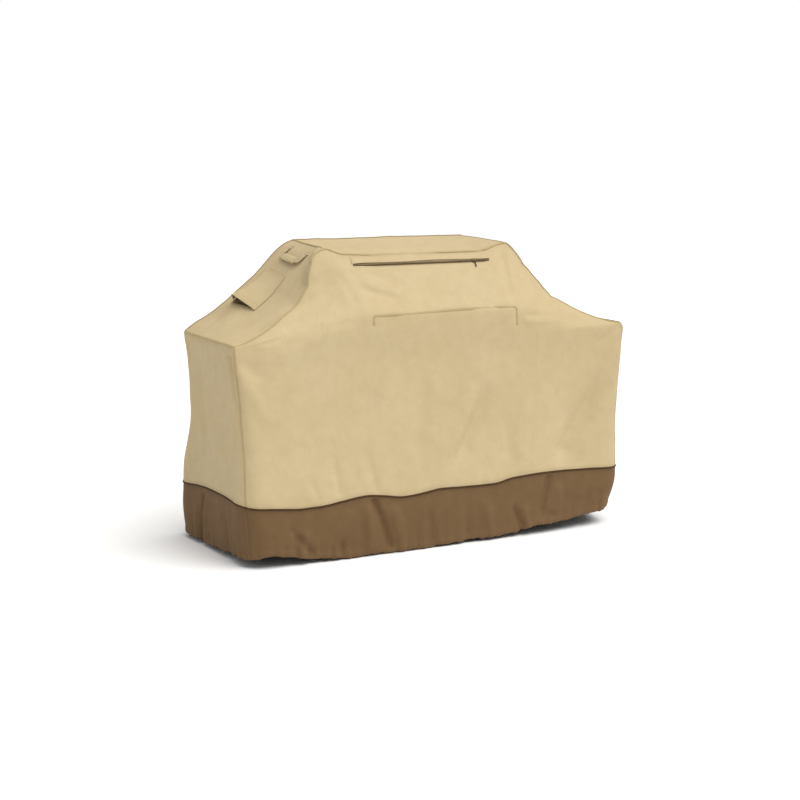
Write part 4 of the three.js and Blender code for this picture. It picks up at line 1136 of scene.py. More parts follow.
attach(piping, "cover")
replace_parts(piping, "skirt_piping")

# the hem's elastic cord follows the gathered channel
pts = []
for s in order:
    D = SKIRT[s][0]
    c = (D[:, 3] + D[:, 13]) / 2
    c[:, 2] = D[:, 8, 2] + 13.5
    pts.append(c[:-1])
loop = np.concatenate(pts)
start = int(np.argmin(np.abs(loop[:, 0] - 0) + (loop[:, 1] < 0) * 1e6))
loop = np.roll(loop, -start, 0)
lock = np.array(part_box("cord_lock_body"), float) / MM
yb = 338.2
run_in = (loop[:, 1] > 250) & (np.abs(loop[:, 0]) < 150)
w = smooth(150, 45, np.abs(loop[:, 0])) * run_in
loop[:, 1] = loop[:, 1] * (1 - w) + yb * w
loop[:, 2] = loop[:, 2] * (1 - w) + 14.0 * w
loop = np.vstack([loop, loop[:1]])
V_, F_ = tube(loop, 4.3, 8)
pile = Pile()
g = np.stack([np.repeat(np.arange(len(loop)) * 7.0, 8), np.tile(np.arange(8) * 1.6, len(loop)), np.zeros(8 * len(loop))], -1)
pile.add(V_, F_, g)
elastic = pile.make("hem_elastic_cord", elastic_m, "cover", "elastic")
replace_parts(elastic, "hem_elastic")


# ---------------------------------------------------------------- seams: a felled band and two rows of stitches
def lay_seam(points, normals, width=9.0, height=1.1, rows=(-3.0, 3.0), pile=seams, thread=sewing, lift=0.15, gap=4.6):
    P = np.asarray(points, float)
    keep = np.concatenate([[True], np.linalg.norm(np.diff(P, axis=0), axis=1) > 0.8])
    P, N = P[keep], unit(np.asarray(normals, float)[keep])
    for _ in range(2):
        N[1:-1] = unit(N[:-2] + N[1:-1] * 2 + N[2:])
    v_, f_, g_ = strip(P, N, width, height, lift=lift)
    pile.add(v_, f_, g_)
    for off in rows:
        v_, f_ = stitches(P, N, off, lift=lift + height * 1.0 - 0.12, pitch=gap)
        thread.add(v_, f_)


nf, nb, nl, nr, nt = (grid_normals(D) for D in (D_front, D_back, D_left, D_right, D_top))


def both(P, N, other_P, other_N):
    """N averaged with the nearest normals of the neighbouring panel's edge."""
    out = []
    for p, n in zip(P, N):
        k = np.argmin(((other_P - p) ** 2).sum(1))
        out.append(n + other_N[k])
    return unit(np.array(out))


for P, N, Q, M_ in (
    (D_front[0], nf[0], D_left[-1], nl[-1]),
    (D_front[-1], nf[-1], D_right[0], nr[0]),
    (D_back[0], nb[0], D_right[-1], nr[-1]),
    (D_back[-1], nb[-1], D_left[0], nl[0]),
):
    lay_seam(P[2:-1], both(P, N, Q, M_)[2:-1], 8.0, 0.9)
for sname, end, ne in (("left", D_left, nl), ("right", D_right, nr)):
    ob, area, D, N = shoulder_obs[sname]
    lay_seam(end[1:-1, -1], both(end[1:-1, -1], ne[1:-1, -1], D.reshape(-1, 3), N.reshape(-1, 3)), 8.5, 1.0)
cols = D_front[:, -1]
allx = G_front[:, -1, 0]
hood_part = (allx <= 415.1) & (allx >= -429.1)
lay_seam(D_front[hood_part, -1], both(D_front[hood_part, -1], nf[hood_part, -1], D_top[:, 0], nt[:, 0]), 8.0, 2.0, rows=(2.4,))
for sgn, sname in ((-1, "left"), (1, "right")):
    ob, area, D, N = shoulder_obs[sname]
    part = (allx * sgn >= CORNER[sgn] - 0.1) & (np.abs(allx) < 886)
    lay_seam(D_front[part, -1], both(D_front[part, -1], nf[part, -1], D.reshape(-1, 3), N.reshape(-1, 3)), 7.5, 1.0)
    side_edge = D_top[-1 if sgn > 0 else 0]
    lay_seam(side_edge[1:-1], both(side_edge[1:-1], nt[-1 if sgn > 0 else 0][1:-1], D.reshape(-1, 3), N.reshape(-1, 3)), 8.0, 1.1)
lay_seam(D_back[1:-1, -1], both(D_back[1:-1, -1], nb[1:-1, -1], np.concatenate([D_top[:, -1]] + [shoulder_obs[s][2].reshape(-1, 3) for s in ("left", "right")]), np.concatenate([nt[:, -1]] + [shoulder_obs[s][3].reshape(-1, 3) for s in ("left", "right")])), 8.0, 1.1)


def on_front(points, lift=0.0):
    """Points and normals on the front cloth at given (x, z)."""
    flat = D_front.reshape(-1, 3)
    P, N = [], []
    for x, z in points:
        k = np.argmin((flat[:, 0] - x) ** 2 + (flat[:, 2] - z) ** 2)
        P.append([x, flat[k, 1], z])
        N.append(nf.reshape(-1, 3)[k])
    P, N = np.array(P), unit(np.array(N))
    for _ in range(4):
        P[1:-1, 1] = (P[:-2, 1] + P[1:-1, 1] * 2 + P[2:, 1]) / 4
        N[1:-1] = unit(N[:-2] + N[1:-1] * 2 + N[2:])
    return P + N * lift, N


# tab seam with its two short stubs, the hood's cloth lapped over the front's
tab_line = [(-296, z) for z in np.arange(919, 948, 5)] + [(-295, 950), (-291, 954)] + [(x, 955 + 9 * float(smooth(-200, 230, x)) - 3 * float(smooth(260, 356, x))) for x in np.arange(-284, 352, 8)] + [(357, 960), (361, 956)] + [(364, z) for z in np.arange(950, 882, -6)]
P, N = on_front(tab_line)
lay_seam(P, N, 7.5, 1.25, rows=(2.4, -2.4), lift=0.55)

# hem stitching on the skirt, and beside the piping
for s in order:
    D = SKIRT[s][0]
    N = grid_normals(D)
    v_, f_ = stitches(D[:, 15], N[:, 15], 0.0, lift=0.15)
    brown_sewing.add(v_, f_)
    v_, f_ = stitches(D[:, -2], N[:, -2], 0.0, lift=0.15)
    brown_sewing.add(v_, f_)
for D, N in ((D_front, nf), (D_right, nr), (D_back, nb), (D_left, nl)):
    j = 4
    v_, f_ = stitches(D[:, j], N[:, j], 0.0, lift=0.15)
    sewing.add(v_, f_)

# ---------------------------------------------------------------- the zipped pocket
ca, sa = math.cos(SLOPE), math.sin(SLOPE)


def on_hood(x, y, z):
    """A point in the zip's frame: x along, y up the slope from the tab seam, z out of it."""
    x, y, z = np.broadcast_arrays(np.asarray(x, float), np.asarray(y, float), np.asarray(z, float))
    return np.stack([x, -SHOULDER_Y + y * ca - z * sa, TAB_Z + y * sa + z * ca], -1)


ZY, ZL, ZR = 230.9, -316.0, 300.0
wavy = lambda x: 0.8 * np.sin(x / 71.0) + 0.5 * np.sin(x / 33.0 + 1)
for part, y0, y1 in (("upper", 1.3, 24.0), ("lower", -1.3, -24.0)):
    x = np.linspace(ZL - 10, ZR + 10, 160)
    yy = np.linspace(y0, y1, 10)
    X, Y = np.meshgrid(x, yy, indexing="ij")
    Z = -1.9 + 0.25 * np.sin(X / 40.0) * np.abs(Y) / 24 - 0.2
    G = on_hood(X, ZY + Y, Z)
    if part == "lower":
        G = G[:, ::-1]
    ob, area = cloth(f"zip_tape_{part}_cloth", G, tape_m, thick=0.7, replaces=(f"zip_tape_{part}",))
    teeth = Pile()
    n = int((ZR - ZL) / 2.6)
    xs_ = ZL + 1.3 + np.arange(n) * (ZR - ZL - 2.6) / (n - 1)
    sg = 1 if part == "upper" else -1
    if part == "lower":
        xs_ = xs_ + 1.3
        xs_ = xs_[:-1]
    for xc in xs_:
        # one turn of the coil: a small rounded loop seen end on
        a = np.linspace(0, 2 * np.pi, 7)[:-1]
        ring_ = np.stack([0 * a, 1.7 + 1.15 * np.cos(a), -0.35 + 1.0 * np.sin(a)], -1)
        prof = []
        for w, sc in ((-0.85, 0.6), (-0.45, 1.0), (0.45, 1.0), (0.85, 0.6)):
            c = np.array([0, 1.7, -0.35])
            r_ = c + (ring_ - c) * sc
            r_[:, 0] += w
            prof.append(r_)
        P_ = np.concatenate(prof)
        P_[:, 1] *= sg
        Vt = on_hood(xc + P_[:, 0], ZY + P_[:, 1], P_[:, 2])
        f_ = []
        for i in range(3):
            for k in range(6):
                m_ = (k + 1) % 6
                quad = (i * 6 + k, i * 6 + m_, (i + 1) * 6 + m_, (i + 1) * 6 + k)
                f_.append(quad if sg < 0 else quad[::-1])
        f_.append(tuple(range(6)) if sg > 0 else tuple(range(6))[::-1])
        f_.append(tuple(range(18, 24))[::-1] if sg > 0 else tuple(range(18, 24)))
        teeth.add(Vt, f_)
    # the coil's backbone, sewn to the tape
    v_, f_ = tube(on_hood(np.linspace(ZL, ZR, 80), ZY + sg * 2.4, -0.9), 1.0, 6)
    teeth.add(v_, f_)
    ob = teeth.make(f"zip_teeth_{part}", coil_m, "cover", "coil")
    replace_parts(ob, f"zip_coil_{part}")
    v_, f_ = stitches(on_hood(np.linspace(ZL, ZR, 120), ZY + sg * 5.2, -1.9), np.tile(on_hood(0, 0, 1) - on_hood(0, 0, 0), (120, 1)), 0, pitch=3.4, length=2.6, lift=0.1)
    sewing.add(v_, f_)

# rain flap: a folded strip sewn below the top seam, its edge stands off the zip
x = np.linspace(ZL - 10, ZR + 10, 170)
prof_y = np.array([45.0, 41, 36, 30, 24, 18, 13, 10, 8.2, 7.6])
prof_z = np.array([0.9, 1.5, 2.0, 2.7, 3.5, 4.4, 5.0, 5.2, 4.9, 4.2])
X, K_ = np.meshgrid(x, np.arange(len(prof_y)), indexing="ij")
endfade = smooth(ZL - 10, ZL + 8, X) * smooth(ZR + 10, ZR - 8, X)
Y = prof_y[K_] + 1.5 * (1 + np.sin(X / 62.0 + 0.6)) * smooth(4, 9, K_) * smooth(ZL, ZL + 60, X) * smooth(ZR, ZR - 60, X)
Z = prof_z[K_] * (0.35 + 0.65 * endfade) + 0.7 * wavy(X) * (1 - K_ / 14) * endfade * (K_ > 1)
G = on_hood(X, ZY + Y, Z)
if grid_normals(G)[50, 4] @ (on_hood(0, 0, 1) - on_hood(0, 0, 0)) < 0:
    G = G[:, ::-1]
flap_ob, flap_area = cloth("zip_rain_flap_cloth", G, tan, replaces=("zip_rain_flap",), thick=1.1)
up_n = on_hood(0, 0, 1) - on_hood(0, 0, 0)
v_, f_ = stitches(on_hood(np.linspace(ZL, ZR, 150), ZY + 40, 1.6 + 0.6 * wavy(np.linspace(ZL, ZR, 150)) * 0.9), np.tile(up_n, (150, 1)), 0, lift=0.25)
sewing.add(v_, f_)
v_, f_ = stitches(on_hood(np.linspace(ZL, ZR, 150), ZY - 10, 0.2), np.tile(up_n, (150, 1)), 0, lift=0.25)
sewing.add(v_, f_)

# pocket bag behind the slope
x = np.linspace(ZL - 14, ZR + 14, 90)
y = np.linspace(-200, 24, 40)
X, Y = np.meshgrid(x, y, indexing="ij")
fu, fv = (X - x[0]) / (x[-1] - x[0]), (Y - y[0]) / (y[-1] - y[0])
depth = 3.4 + 15.5 * (np.clip(np.minimum(np.minimum(fu, 1 - fu) * 18, np.minimum(fv, 1 - fv) * 7), 0, 1)) ** 0.6
depth = depth + 1.4 * noise(np.stack([X, Y, 0 * X], -1).reshape(-1, 3), (70, 60, 1), 41).reshape(X.shape) * (depth > 8)
face = displaced(on_hood(X, ZY + Y, 0 * X))
G = face - (on_hood(0, 0, 1) - on_hood(0, 0, 0)) * depth[..., None]
bag_ob, bag_area = cloth("pocket_bag_cloth", G[::-1], tape_m, replaces=("pocket_lining",), thick=0.8)


def softened(node, name, mat, body, width=0.0006, segments=2):
    """A CAD piece's own shape with its edges rounded."""
    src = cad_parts[node]
    me = src.data.copy()
    me.name = name
    ob = bpy.data.objects.new(name, me)
    bpy.context.collection.objects.link(ob)
    me.materials.clear()
    me.materials.append(mat)
    import bmesh

    bm = bmesh.new()
    bm.from_mesh(me)
    bmesh.ops.remove_doubles(bm, verts=bm.verts, dist=1e-6)
    bmesh.ops.dissolve_limit(bm, angle_limit=math.radians(1.5), verts=bm.verts, edges=bm.edges)
    bm.to_mesh(me)
    bm.free()
    mod = ob.modifiers.new("round", "BEVEL")
    mod.width, mod.segments, mod.limit_method, mod.angle_limit = width, segments, "ANGLE", math.radians(30)
    mod.harden_normals = True
    for p in me.polygons:
        p.use_smooth = True
    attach(ob, body)
    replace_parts(ob, node)
    return ob


softened("zip_slider", "zip_slider_casting", steel_m, "zip_slider", 0.0004)
softened("zip_pull_tab", "zip_pull_moulding", pull_m, "zip_pull", 0.0004)
softened("zip_stop_left", "zip_stop_left_clip", steel_m, "cover", 0.0005)
softened("zip_stop_right", "zip_stop_right_clip", steel_m, "cover", 0.0005)
softened("cord_lock_body", "cord_lock_shell", black_p, "cover", 0.0009)
softened("cord_lock_button", "cord_lock_plunger", black_p, "cord_lock_button", 0.0007)

# ---------------------------------------------------------------- vents
VENT = {"t0": 0.295, "t1": 0.615, "u0": 0.11, "u1": 0.55}


def lip(q):
    q = np.asarray(q, float)
    return np.where(q < 0.16, smooth(0, 0.16, q), 1 - np.power(np.clip((q - 0.16) / 0.84, 0, 1), 1.15))


def lifted(u, t, lift, side=1):
    """A point lift millimetres off the shoulder's cloth."""
    e = 0.004
    p = shoulder(u, t)
    du = shoulder(np.clip(u + e, 0, 1), t) - shoulder(np.clip(u - e, 0, 1), t)
    dt = shoulder(u, np.clip(t + e, 0, 1)) - shoulder(u, np.clip(t - e, 0, 1))
    n = unit(np.cross(dt, du))
    n = np.where(n[..., 2:3] < 0, -n, n)
    q = p + n * np.asarray(lift)[..., None]
    q[..., 0] *= side
    n = n.copy()
    n[..., 0] *= side
    return q, n


for side, sname in ((1, "right"), (-1, "left")):
    a = np.unique(np.concatenate([np.linspace(0, 1, 44), [0.01, 0.02, 0.98, 0.99]]))
    b = np.unique(np.concatenate([np.linspace(0, 1, 34), [0.012, 0.024, 0.97, 0.985]]))
    A_, B_ = np.meshgrid(a, b, indexing="ij")
    wob = noise(np.stack([A_ * 190, B_ * 150, 0 * A_], -1).reshape(-1, 3), (46, 60, 1), 51 + side).reshape(A_.shape)
    lift = 4.2 - 1.7 * smooth(0.9, 1, A_) - 1.4 * smooth(0.08, 0, A_) * (1 - B_) + 36 * lip(A_) * B_**1.4 + 1.5 * wob * B_ * smooth(0, 0.1, A_) * smooth(1, 0.9, A_)
    G, N = lifted(VENT["u0"] + (VENT["u1"] - VENT["u0"]) * A_, VENT["t0"] + (VENT["t1"] - VENT["t0"]) * B_, lift, side)
    if (grid_normals(G)[20, 15] @ N[20, 15]) < 0:
        G, N = G[::-1], N[::-1]
    ob, area = cloth(f"{sname}_vent_hood", G, tan, body=f"{sname}_vent", replaces=(f"{sname}_vent_flap",), thick=1.1)
    GN = grid_normals(G)
    vs = Pile()
    for line, nn in ((G[:, -4], GN[:, -4]), (G[:, -7], GN[:, -7]), (G[3], GN[3]), (G[-4], GN[-4]), (G[:, 3], GN[:, 3])):
        v_, f_ = stitches(line, nn, 0, lift=0.2)
        vs.add(v_, f_)
    vs.make(f"{sname}_vent_stitching", thread_m, f"{sname}_vent", "tan_cloth")
    # bound edge round the lip
    v_, f_ = tube(G[:, -1] - GN[:, -1] * 0.5, 2.6, 8)
    bp = Pile()
    g = np.stack([np.repeat(np.arange(len(G)) * 4.5, 8), np.tile(np.arange(8) * 1.0, len(G)), np.zeros(8 * len(G))], -1)
    bp.add(v_, f_, g)
    bp.make(f"{sname}_vent_binding", webbing_m, f"{sname}_vent", "webbing")
    softened(f"{sname}_vent_stay", f"{sname}_vent_stiffener", black_p, f"{sname}_vent", 0.0003, 1)
    # mesh: crossed threads with a flat border
    mp = Pile()
    u0, u1, t0, t1 = 0.125, 0.535, 0.335, 0.612
    for q in np.linspace(u0, u1, 58):
        L, n_ = lifted(np.full(34, q), np.linspace(t0, t1 + mouth(q), 34), -2.2 + 0.4 * np.cos(np.arange(34) * np.pi), side)
        v_, f_ = tube(L, 1.25, 4)
        mp.add(v_, f_)
    for q in np.linspace(t0, t1, 34):
        L, n_ = lifted(np.linspace(u0, u1, 58), q + mouth(np.linspace(u0, u1, 58)) * (q - t0) / (t1 - t0), -2.2 - 0.4 * np.cos(np.arange(58) * np.pi), side)
        v_, f_ = tube(L, 1.25, 4)
        mp.add(v_, f_)
    ob = mp.make(f"{sname}_vent_netting", mesh_m, "cover", "mesh")
    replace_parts(ob, f"{sname}_vent_mesh")
    # sewn edge of the opening
    uu, tt = [], []
    hu0, hu1, ht0, ht1 = 0.133, 0.527, 0.352, 0.609
    for q in np.linspace(hu0, hu1, 20):
        uu.append(q), tt.append(ht0)
    for q in np.linspace(ht0, ht1, 16)[1:]:
        uu.append(hu1), tt.append(q + mouth(hu1) * (q - ht0) / (ht1 - ht0))
    for q in np.linspace(hu1, hu0, 20)[1:]:
        uu.append(q), tt.append(ht1 + float(mouth(q)))
    for q in np.linspace(ht1, ht0, 16)[1:]:
        uu.append(hu0), tt.append(q + mouth(hu0) * (q - ht0) / (ht1 - ht0))
    L, n_ = lifted(np.array(uu), np.array(tt), np.full(len(uu), 0.0), side)
    v_, f_, g_ = strip(L, n_, 8, 0.8, lift=0.3)
    seams.add(v_, f_, g_)
    v_, f_ = stitches(L, n_, 2.2, lift=1.0)
    sewing.add(v_, f_)

# ---------------------------------------------------------------- handles
for side, sname in ((1, "right"), (-1, "left")):
    t, u = 0.098, 0.44
    c, n0 = lifted(np.array(u), np.array(t), np.array(5.5))
    axis = unit(lifted(np.array(u - 0.2), np.array(t), np.array(5.5))[0] - lifted(np.array(u + 0.2), np.array(t), np.array(5.5))[0])
    down = lifted(np.array(u), np.array(t + 0.085), np.array(11.5))[0] - c
    down = unit(down - axis * (down @ axis))
    nrm = unit(np.cross(down, axis))
    if nrm[2] < 0:
        nrm = -nrm

    def place(p, side=side, c=c, down=down, axis=axis, nrm=nrm):
        p = np.asarray(p, float)
        q = c + p[..., 0:1] * down + p[..., 1:2] * axis + p[..., 2:3] * nrm
        q = q.copy()
        q[..., 0] *= side
        return q

    hp = Pile()
    # one strip of webbing: up the front leg, through the sleeve, down the back leg
    r = 14.0
    path = [(1.5, -87.5), (10, -87.5), (22, -87.2)]
    path += [(29 + r * math.sin(q) * 0.96, -87.2 + r * (1 - math.cos(q)) + 0.2) for q in np.linspace(0.2, math.pi / 2, 7)]
    path += [(43.0, y) for y in np.linspace(-66, 66, 24)]
    path += [(29 + r * math.cos(q) * 0.96, 87.2 - r * (1 - math.sin(q)) - 0.2) for q in np.linspace(0, math.pi / 2 - 0.2, 7)]
    path += [(22, 87.2), (10, 87.5), (1.5, 87.5)]
    P = np.array(path)
    tan2 = unit(np.gradient(P, axis=0))
    sid = np.stack([-tan2[:, 1], tan2[:, 0]], -1)
    wid = np.interp(np.arange(len(P)), [0, 3, 9, len(P) - 10, len(P) - 4, len(P) - 1], [12, 11.6, 9.5, 9.5, 11.6, 12])
    ring_ = [(-1, -0.5), (-1, 0.5), (-0.9, 0.9), (0.9, 0.9), (1, 0.5), (1, -0.5), (0.9, -0.9), (-0.9, -0.9)]
    Vh = np.concatenate([place(np.concatenate([P + sid * (wid * a_)[:, None], np.full((len(P), 1), b_ * 0.9)], 1))[:, None] for a_, b_ in ring_], 1)
    n_, m_ = len(P), len(ring_)
    fs = []
    for i in range(n_ - 1):
        for k in range(m_):
            q = (k + 1) % m_
            fs.append((i * m_ + k, (i + 1) * m_ + k, (i + 1) * m_ + q, i * m_ + q))
    fs.append(tuple(range(m_)))
    fs.append(tuple((n_ - 1) * m_ + k for k in range(m_))[::-1])
    if side < 0:
        pass
    s_len = np.concatenate([[0], np.cumsum(np.linalg.norm(np.diff(P, axis=0), axis=1))])
    g = np.stack([np.repeat(s_len, m_), np.tile([a_ * 12 for a_, _ in ring_], n_), np.zeros(n_ * m_)], -1)
    # turn the faces out
    Vf = Vh.reshape(-1, 3)
    f0 = fs[(n_ // 2) * m_ + 2]
    fn = np.cross(Vf[f0[1]] - Vf[f0[0]], Vf[f0[2]] - Vf[f0[0]])
    nn = place(np.array([0, 0, 1.0])) - place(np.array([0, 0, 0.0]))
    if fn @ nn < 0:
        fs = [f[::-1] for f in fs]
    hp.add(Vf, fs, g)
    ob = hp.make(f"{sname}_handle_strap", webbing_m, f"{sname}_handle", "webbing")
    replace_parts(ob, f"{sname}_handle_webbing")
    # padded sleeve: crowned, puckered at its ends, with a seam along the underside
    ny, na = 46, 28
    yy = np.linspace(-65, 65, ny)
    end = np.clip((65 - np.abs(yy)) / 9.0, 0, 1)
    full = 0.62 + 0.38 * np.sqrt(1 - (1 - end) ** 2)
    Vs = []
    for i, y_ in enumerate(yy):
        for k in range(na):
            q = 2 * math.pi * k / na
            rx, rz = 16.6 * (0.93 + 0.07 * full[i]), 5.5 * full[i]
            wr = 1 + 0.05 * math.sin(3 * q + y_ / 9.0) + 0.035 * math.sin(y_ / 3.1 + 2 * q) * (1 - 0.5 * end[i])
            x_ = 42.5 + rx * np.sign(math.cos(q)) * abs(math.cos(q)) ** 0.85
            z_ = rz * wr * np.sign(math.sin(q)) * abs(math.sin(q)) ** 0.75
            if math.sin(q) < -0.97:
                z_ += 1.0
            Vs.append((x_, y_, z_))
    Vs = place(np.array(Vs))
    fs = []
    for i in range(ny - 1):
        for k in range(na):
            q = (k + 1) % na
            fs.append((i * na + k, i * na + q, (i + 1) * na + q, (i + 1) * na + k))
    fs.append(tuple(range(na))[::-1])
    fs.append(tuple((ny - 1) * na + k for k in range(na)))
    fn = np.cross(Vs[fs[na * 20 + 7][1]] - Vs[fs[na * 20 + 7][0]], Vs[fs[na * 20 + 7][2]] - Vs[fs[na * 20 + 7][0]])
    if fn @ nn < 0:
        fs = [f[::-1] for f in fs]
    g = np.stack([np.repeat(yy, na), np.tile(np.arange(na) * 1.7, ny), np.zeros(ny * na)], -1)
    ob = new_mesh(f"{sname}_handle_pad", Vs, fs, tan, {"grain": g * MM, "edge": np.repeat(65 - np.abs(yy), na) * MM, "inside": np.zeros(len(Vs))})
    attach(ob, f"{sname}_handle")
    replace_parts(ob, f"{sname}_handle_sleeve")
    hs = Pile()
    for off in (-59, 59):
        q = np.linspace(0.25, math.pi - 0.25, 26)
        k = np.argmin(np.abs(yy - off))
        L = place(np.stack([42.5 + 16.4 * np.cos(q), np.full(26, off), 5.4 * full[k] * np.sin(q) ** 0.75], -1))
        M_ = np.tile(nn, (26, 1))
        v_, f_ = stitches(L, M_, 0, lift=0.15, pitch=3.4, length=2.5)
        hs.add(v_, f_)
    hs.make(f"{sname}_handle_stitching", thread_m, f"{sname}_handle", "tan_cloth")
    # anchor patches: the webbing's ends turned under and sewn down with a crossed box
    tk = Pile()
    for tag, y0 in (("front", -87.5), ("back", 87.5)):
        one = Pile()
        # flat on the cloth, then up to the fold the handle hangs from
        rise = lambda q: -4.5 + 3.0 * smooth(-11, -1, np.asarray(q, float))
        xs_ = np.linspace(-23.6, -1.1, 14)
        L = place(np.stack([xs_, np.full(14, y0), rise(xs_)], -1))
        M_ = np.tile(nn, (14, 1))
        v_, f_, g_ = strip(L, M_, 26.5, 1.3, crown=0.12)
        one.add(v_, f_, g_)
        ob = one.make(f"{sname}_handle_anchor_{tag}", webbing_m, "cover", "webbing")
        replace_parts(ob, f"{sname}_handle_tack_{tag}")
        pts_ = [(-21, y0 - 10), (-3, y0 - 10), (-3, y0 + 10), (-21, y0 + 10), (-21, y0 - 10), (-3, y0 + 10), (-3, y0 - 10), (-21, y0 + 10)]
        for (xa, ya), (xb, yb_) in zip(pts_[:-1], pts_[1:]):
            xq = np.linspace(xa, xb, 8)
            L = place(np.stack([xq, np.linspace(ya, yb_, 8), rise(xq) + 1.0], -1))
            v_, f_ = stitches(L, np.tile(nn, (8, 1)), 0, pitch=3.0, length=2.3, lift=0.2)
            sewing.add(v_, f_)

# ---------------------------------------------------------------- leg straps
lean = math.atan((345 - 330) / 234.0)
for xn, sx in (("left", -1), ("right", 1)):
    for yn, sy in (("front", -1), ("back", 1)):
        name = f"{xn}_{yn}"
        body = f"{name}_strap"
        zt = 168.0
        wall_y = 345 + (330 - 345) * zt / 234.0 - 1.5

        def wp(x, n_in, z, sx=sx, sy=sy, wall_y=wall_y, zt=zt):
            """A point n_in inside the skirt's inner face, z above the strap's top."""
            x, n_in, z = np.broadcast_arrays(np.asarray(x, float), np.asarray(n_in, float), np.asarray(z, float))
            y = wall_y - n_in * math.cos(lean) - z * math.sin(lean)
            zz = zt + z * math.cos(lean) - n_in * math.sin(lean)
            return np.stack([sx * 640 + x, sy * y, zz], -1)

        inn = np.array([0, -sy, 0.0])
        # patch
        one = Pile()
        zz = np.linspace(6, 58, 16)
        v_, f_, g_ = strip(wp(0, 0.8, zz), np.tile(inn, (16, 1)), 54, 0.6, crown=0.05, lift=0.0)
        one.add(v_, f_, g_)
        ob = one.make(f"{name}_anchor_patch", tape_m, "cover", "tape")
        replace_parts(ob, f"{name}_strap_patch")
        # tab: webbing sewn to the patch and folded out over the strap's end
        one = Pile()
        line = [(0, 2.4, 50), (0, 2.4, 40), (0, 2.4, 30), (0, 2.4, 20), (0, 2.7, 13), (0, 3.9, 9.0), (0, 6.4, 7.2), (0, 10.0, 6.8), (0, 15.0, 6.8), (0, 19.0, 7.0)]
        P = np.array([wp(*q) for q in line])
        tt_ = unit(np.gradient(P, axis=0))
        nn_ = unit(np.cross(tt_, V3(1, 0, 0)) * 1.0)
        nn_ = np.where((nn_ @ inn)[:, None] < -0.2, -nn_, nn_)
        v_, f_, g_ = strip(P, nn_, 25, 0.9, crown=0.08)
        one.add(v_, f_, g_)
        ob = one.make(f"{name}_strap_anchor", black_web, "cover", "black_webbing")
        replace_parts(ob, f"{name}_strap_tab")
        L = wp(np.linspace(-9, 9, 10), 3.5, 46)
        v_, f_ = stitches(L, np.tile(inn, (10, 1)), 0, pitch=3, length=2.2, lift=0.1)
        sewing.add(v_, f_)
        for q in ((-9, 46, 9, 14), (9, 46, -9, 14), (-9, 14, 9, 14)):
            L = wp(np.linspace(q[0], q[2], 12), 3.5, np.linspace(q[1], q[3], 12))
            v_, f_ = stitches(L, np.tile(inn, (12, 1)), 0, pitch=3, length=2.2, lift=0.1)
            sewing.add(v_, f_)
        # strap, hanging: a flat band with a slight set from being folded
        one = Pile()
        zz = np.linspace(168.6, 98, 34)
        P = np.stack([np.full(34, sx * 640.0) + 0.5 * np.sin((zz - 98) / 21.0), np.full(34, sy * 322.0), zz], -1)
        v_, f_, g_ = strip(P, np.tile(inn, (34, 1)), 25, 0.8, crown=0.1)
        one.add(v_, f_, g_)
        v_, f_, g_ = strip(P[::-1], np.tile(-inn, (34, 1)), 25, 0.8, crown=0.1)
        one.add(v_, f_, g_)
        ob = one.make(f"{name}_leg_strap", black_web, body, "black_webbing")
        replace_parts(ob, f"{name}_strap")
        half = "socket" if yn == "front" else "prongs"
        softened(f"{name}_buckle_{half}", f"{name}_clip_{half}", black_p, body, 0.0009)

# the seam bands in their darker tan, which paints in the shade of the seam lines
seams_ob = seams.make("felled_seams", seam_m, "cover", "tan_cloth")
me = seams_ob.data
me.attributes.new("edge", "FLOAT", "POINT").data.foreach_set("value", np.full(len(me.vertices), 0.02, np.float32))
me.attributes.new("inside", "FLOAT", "POINT").data.foreach_set("value", np.zeros(len(me.vertices), np.float32))
sewing.make("seam_stitching", thread_m, "cover", "tan_cloth")
brown_sewing.make("skirt_stitching", brown_thread, "cover", "brown_cloth")

# the elastic's ends are tied together beside the cord lock
t = np.linspace(0, 2 * np.pi, 90, endpoint=False)
knot = np.stack([-np.sin(3 * t) * 2.3, (np.sin(t) + 2 * np.sin(2 * t)) * 1.05, (np.cos(t) - 2 * np.cos(2 * t)) * 1.05], -1)
kp = Pile()
v_, f_ = tube(knot + V3(-25.2, 338.2, 14), 2.9, 8, closed=True)
kp.add(v_, f_, np.stack([np.repeat(np.arange(90) * 0.6, 8), np.tile(np.arange(8) * 1.0, 90), np.zeros(720)], -1))
for k, (dx, dz) in enumerate(((-4.5, 1.0), (-5.5, -1.2))):
    tail = np.array([(-25.2 + dx * q, 341.0 + 1.6 * q, 14 + dz * 3.0 * q) for q in np.linspace(0.2, 1.5, 7)])
    v_, f_ = tube(tail, 2.7, 8)
    kp.add(v_, f_)
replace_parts(kp.make("elastic_tied_knot", elastic_m, "cover", "elastic"), "elastic_end_knot")

# the cord lock's spring, built at one length (on the real lock it shortens as the button goes down)
t = np.linspace(0, 1, 190)
turn = 2 * np.pi * 5.5 * t
sp = Pile()
v_, f_ = tube(np.stack([1.82 * np.cos(turn), 336.2 + 1.82 * np.sin(turn), 3.5 + 5.2 * np.clip((t - 0.09) / 0.82, 0, 1)], -1), 0.62, 8)
sp.add(v_, f_)
spring_ob = sp.make("cord_lock_coil_spring", steel_m, "cover", "steel")
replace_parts(spring_ob, "cord_lock_spring")
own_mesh(spring_ob)

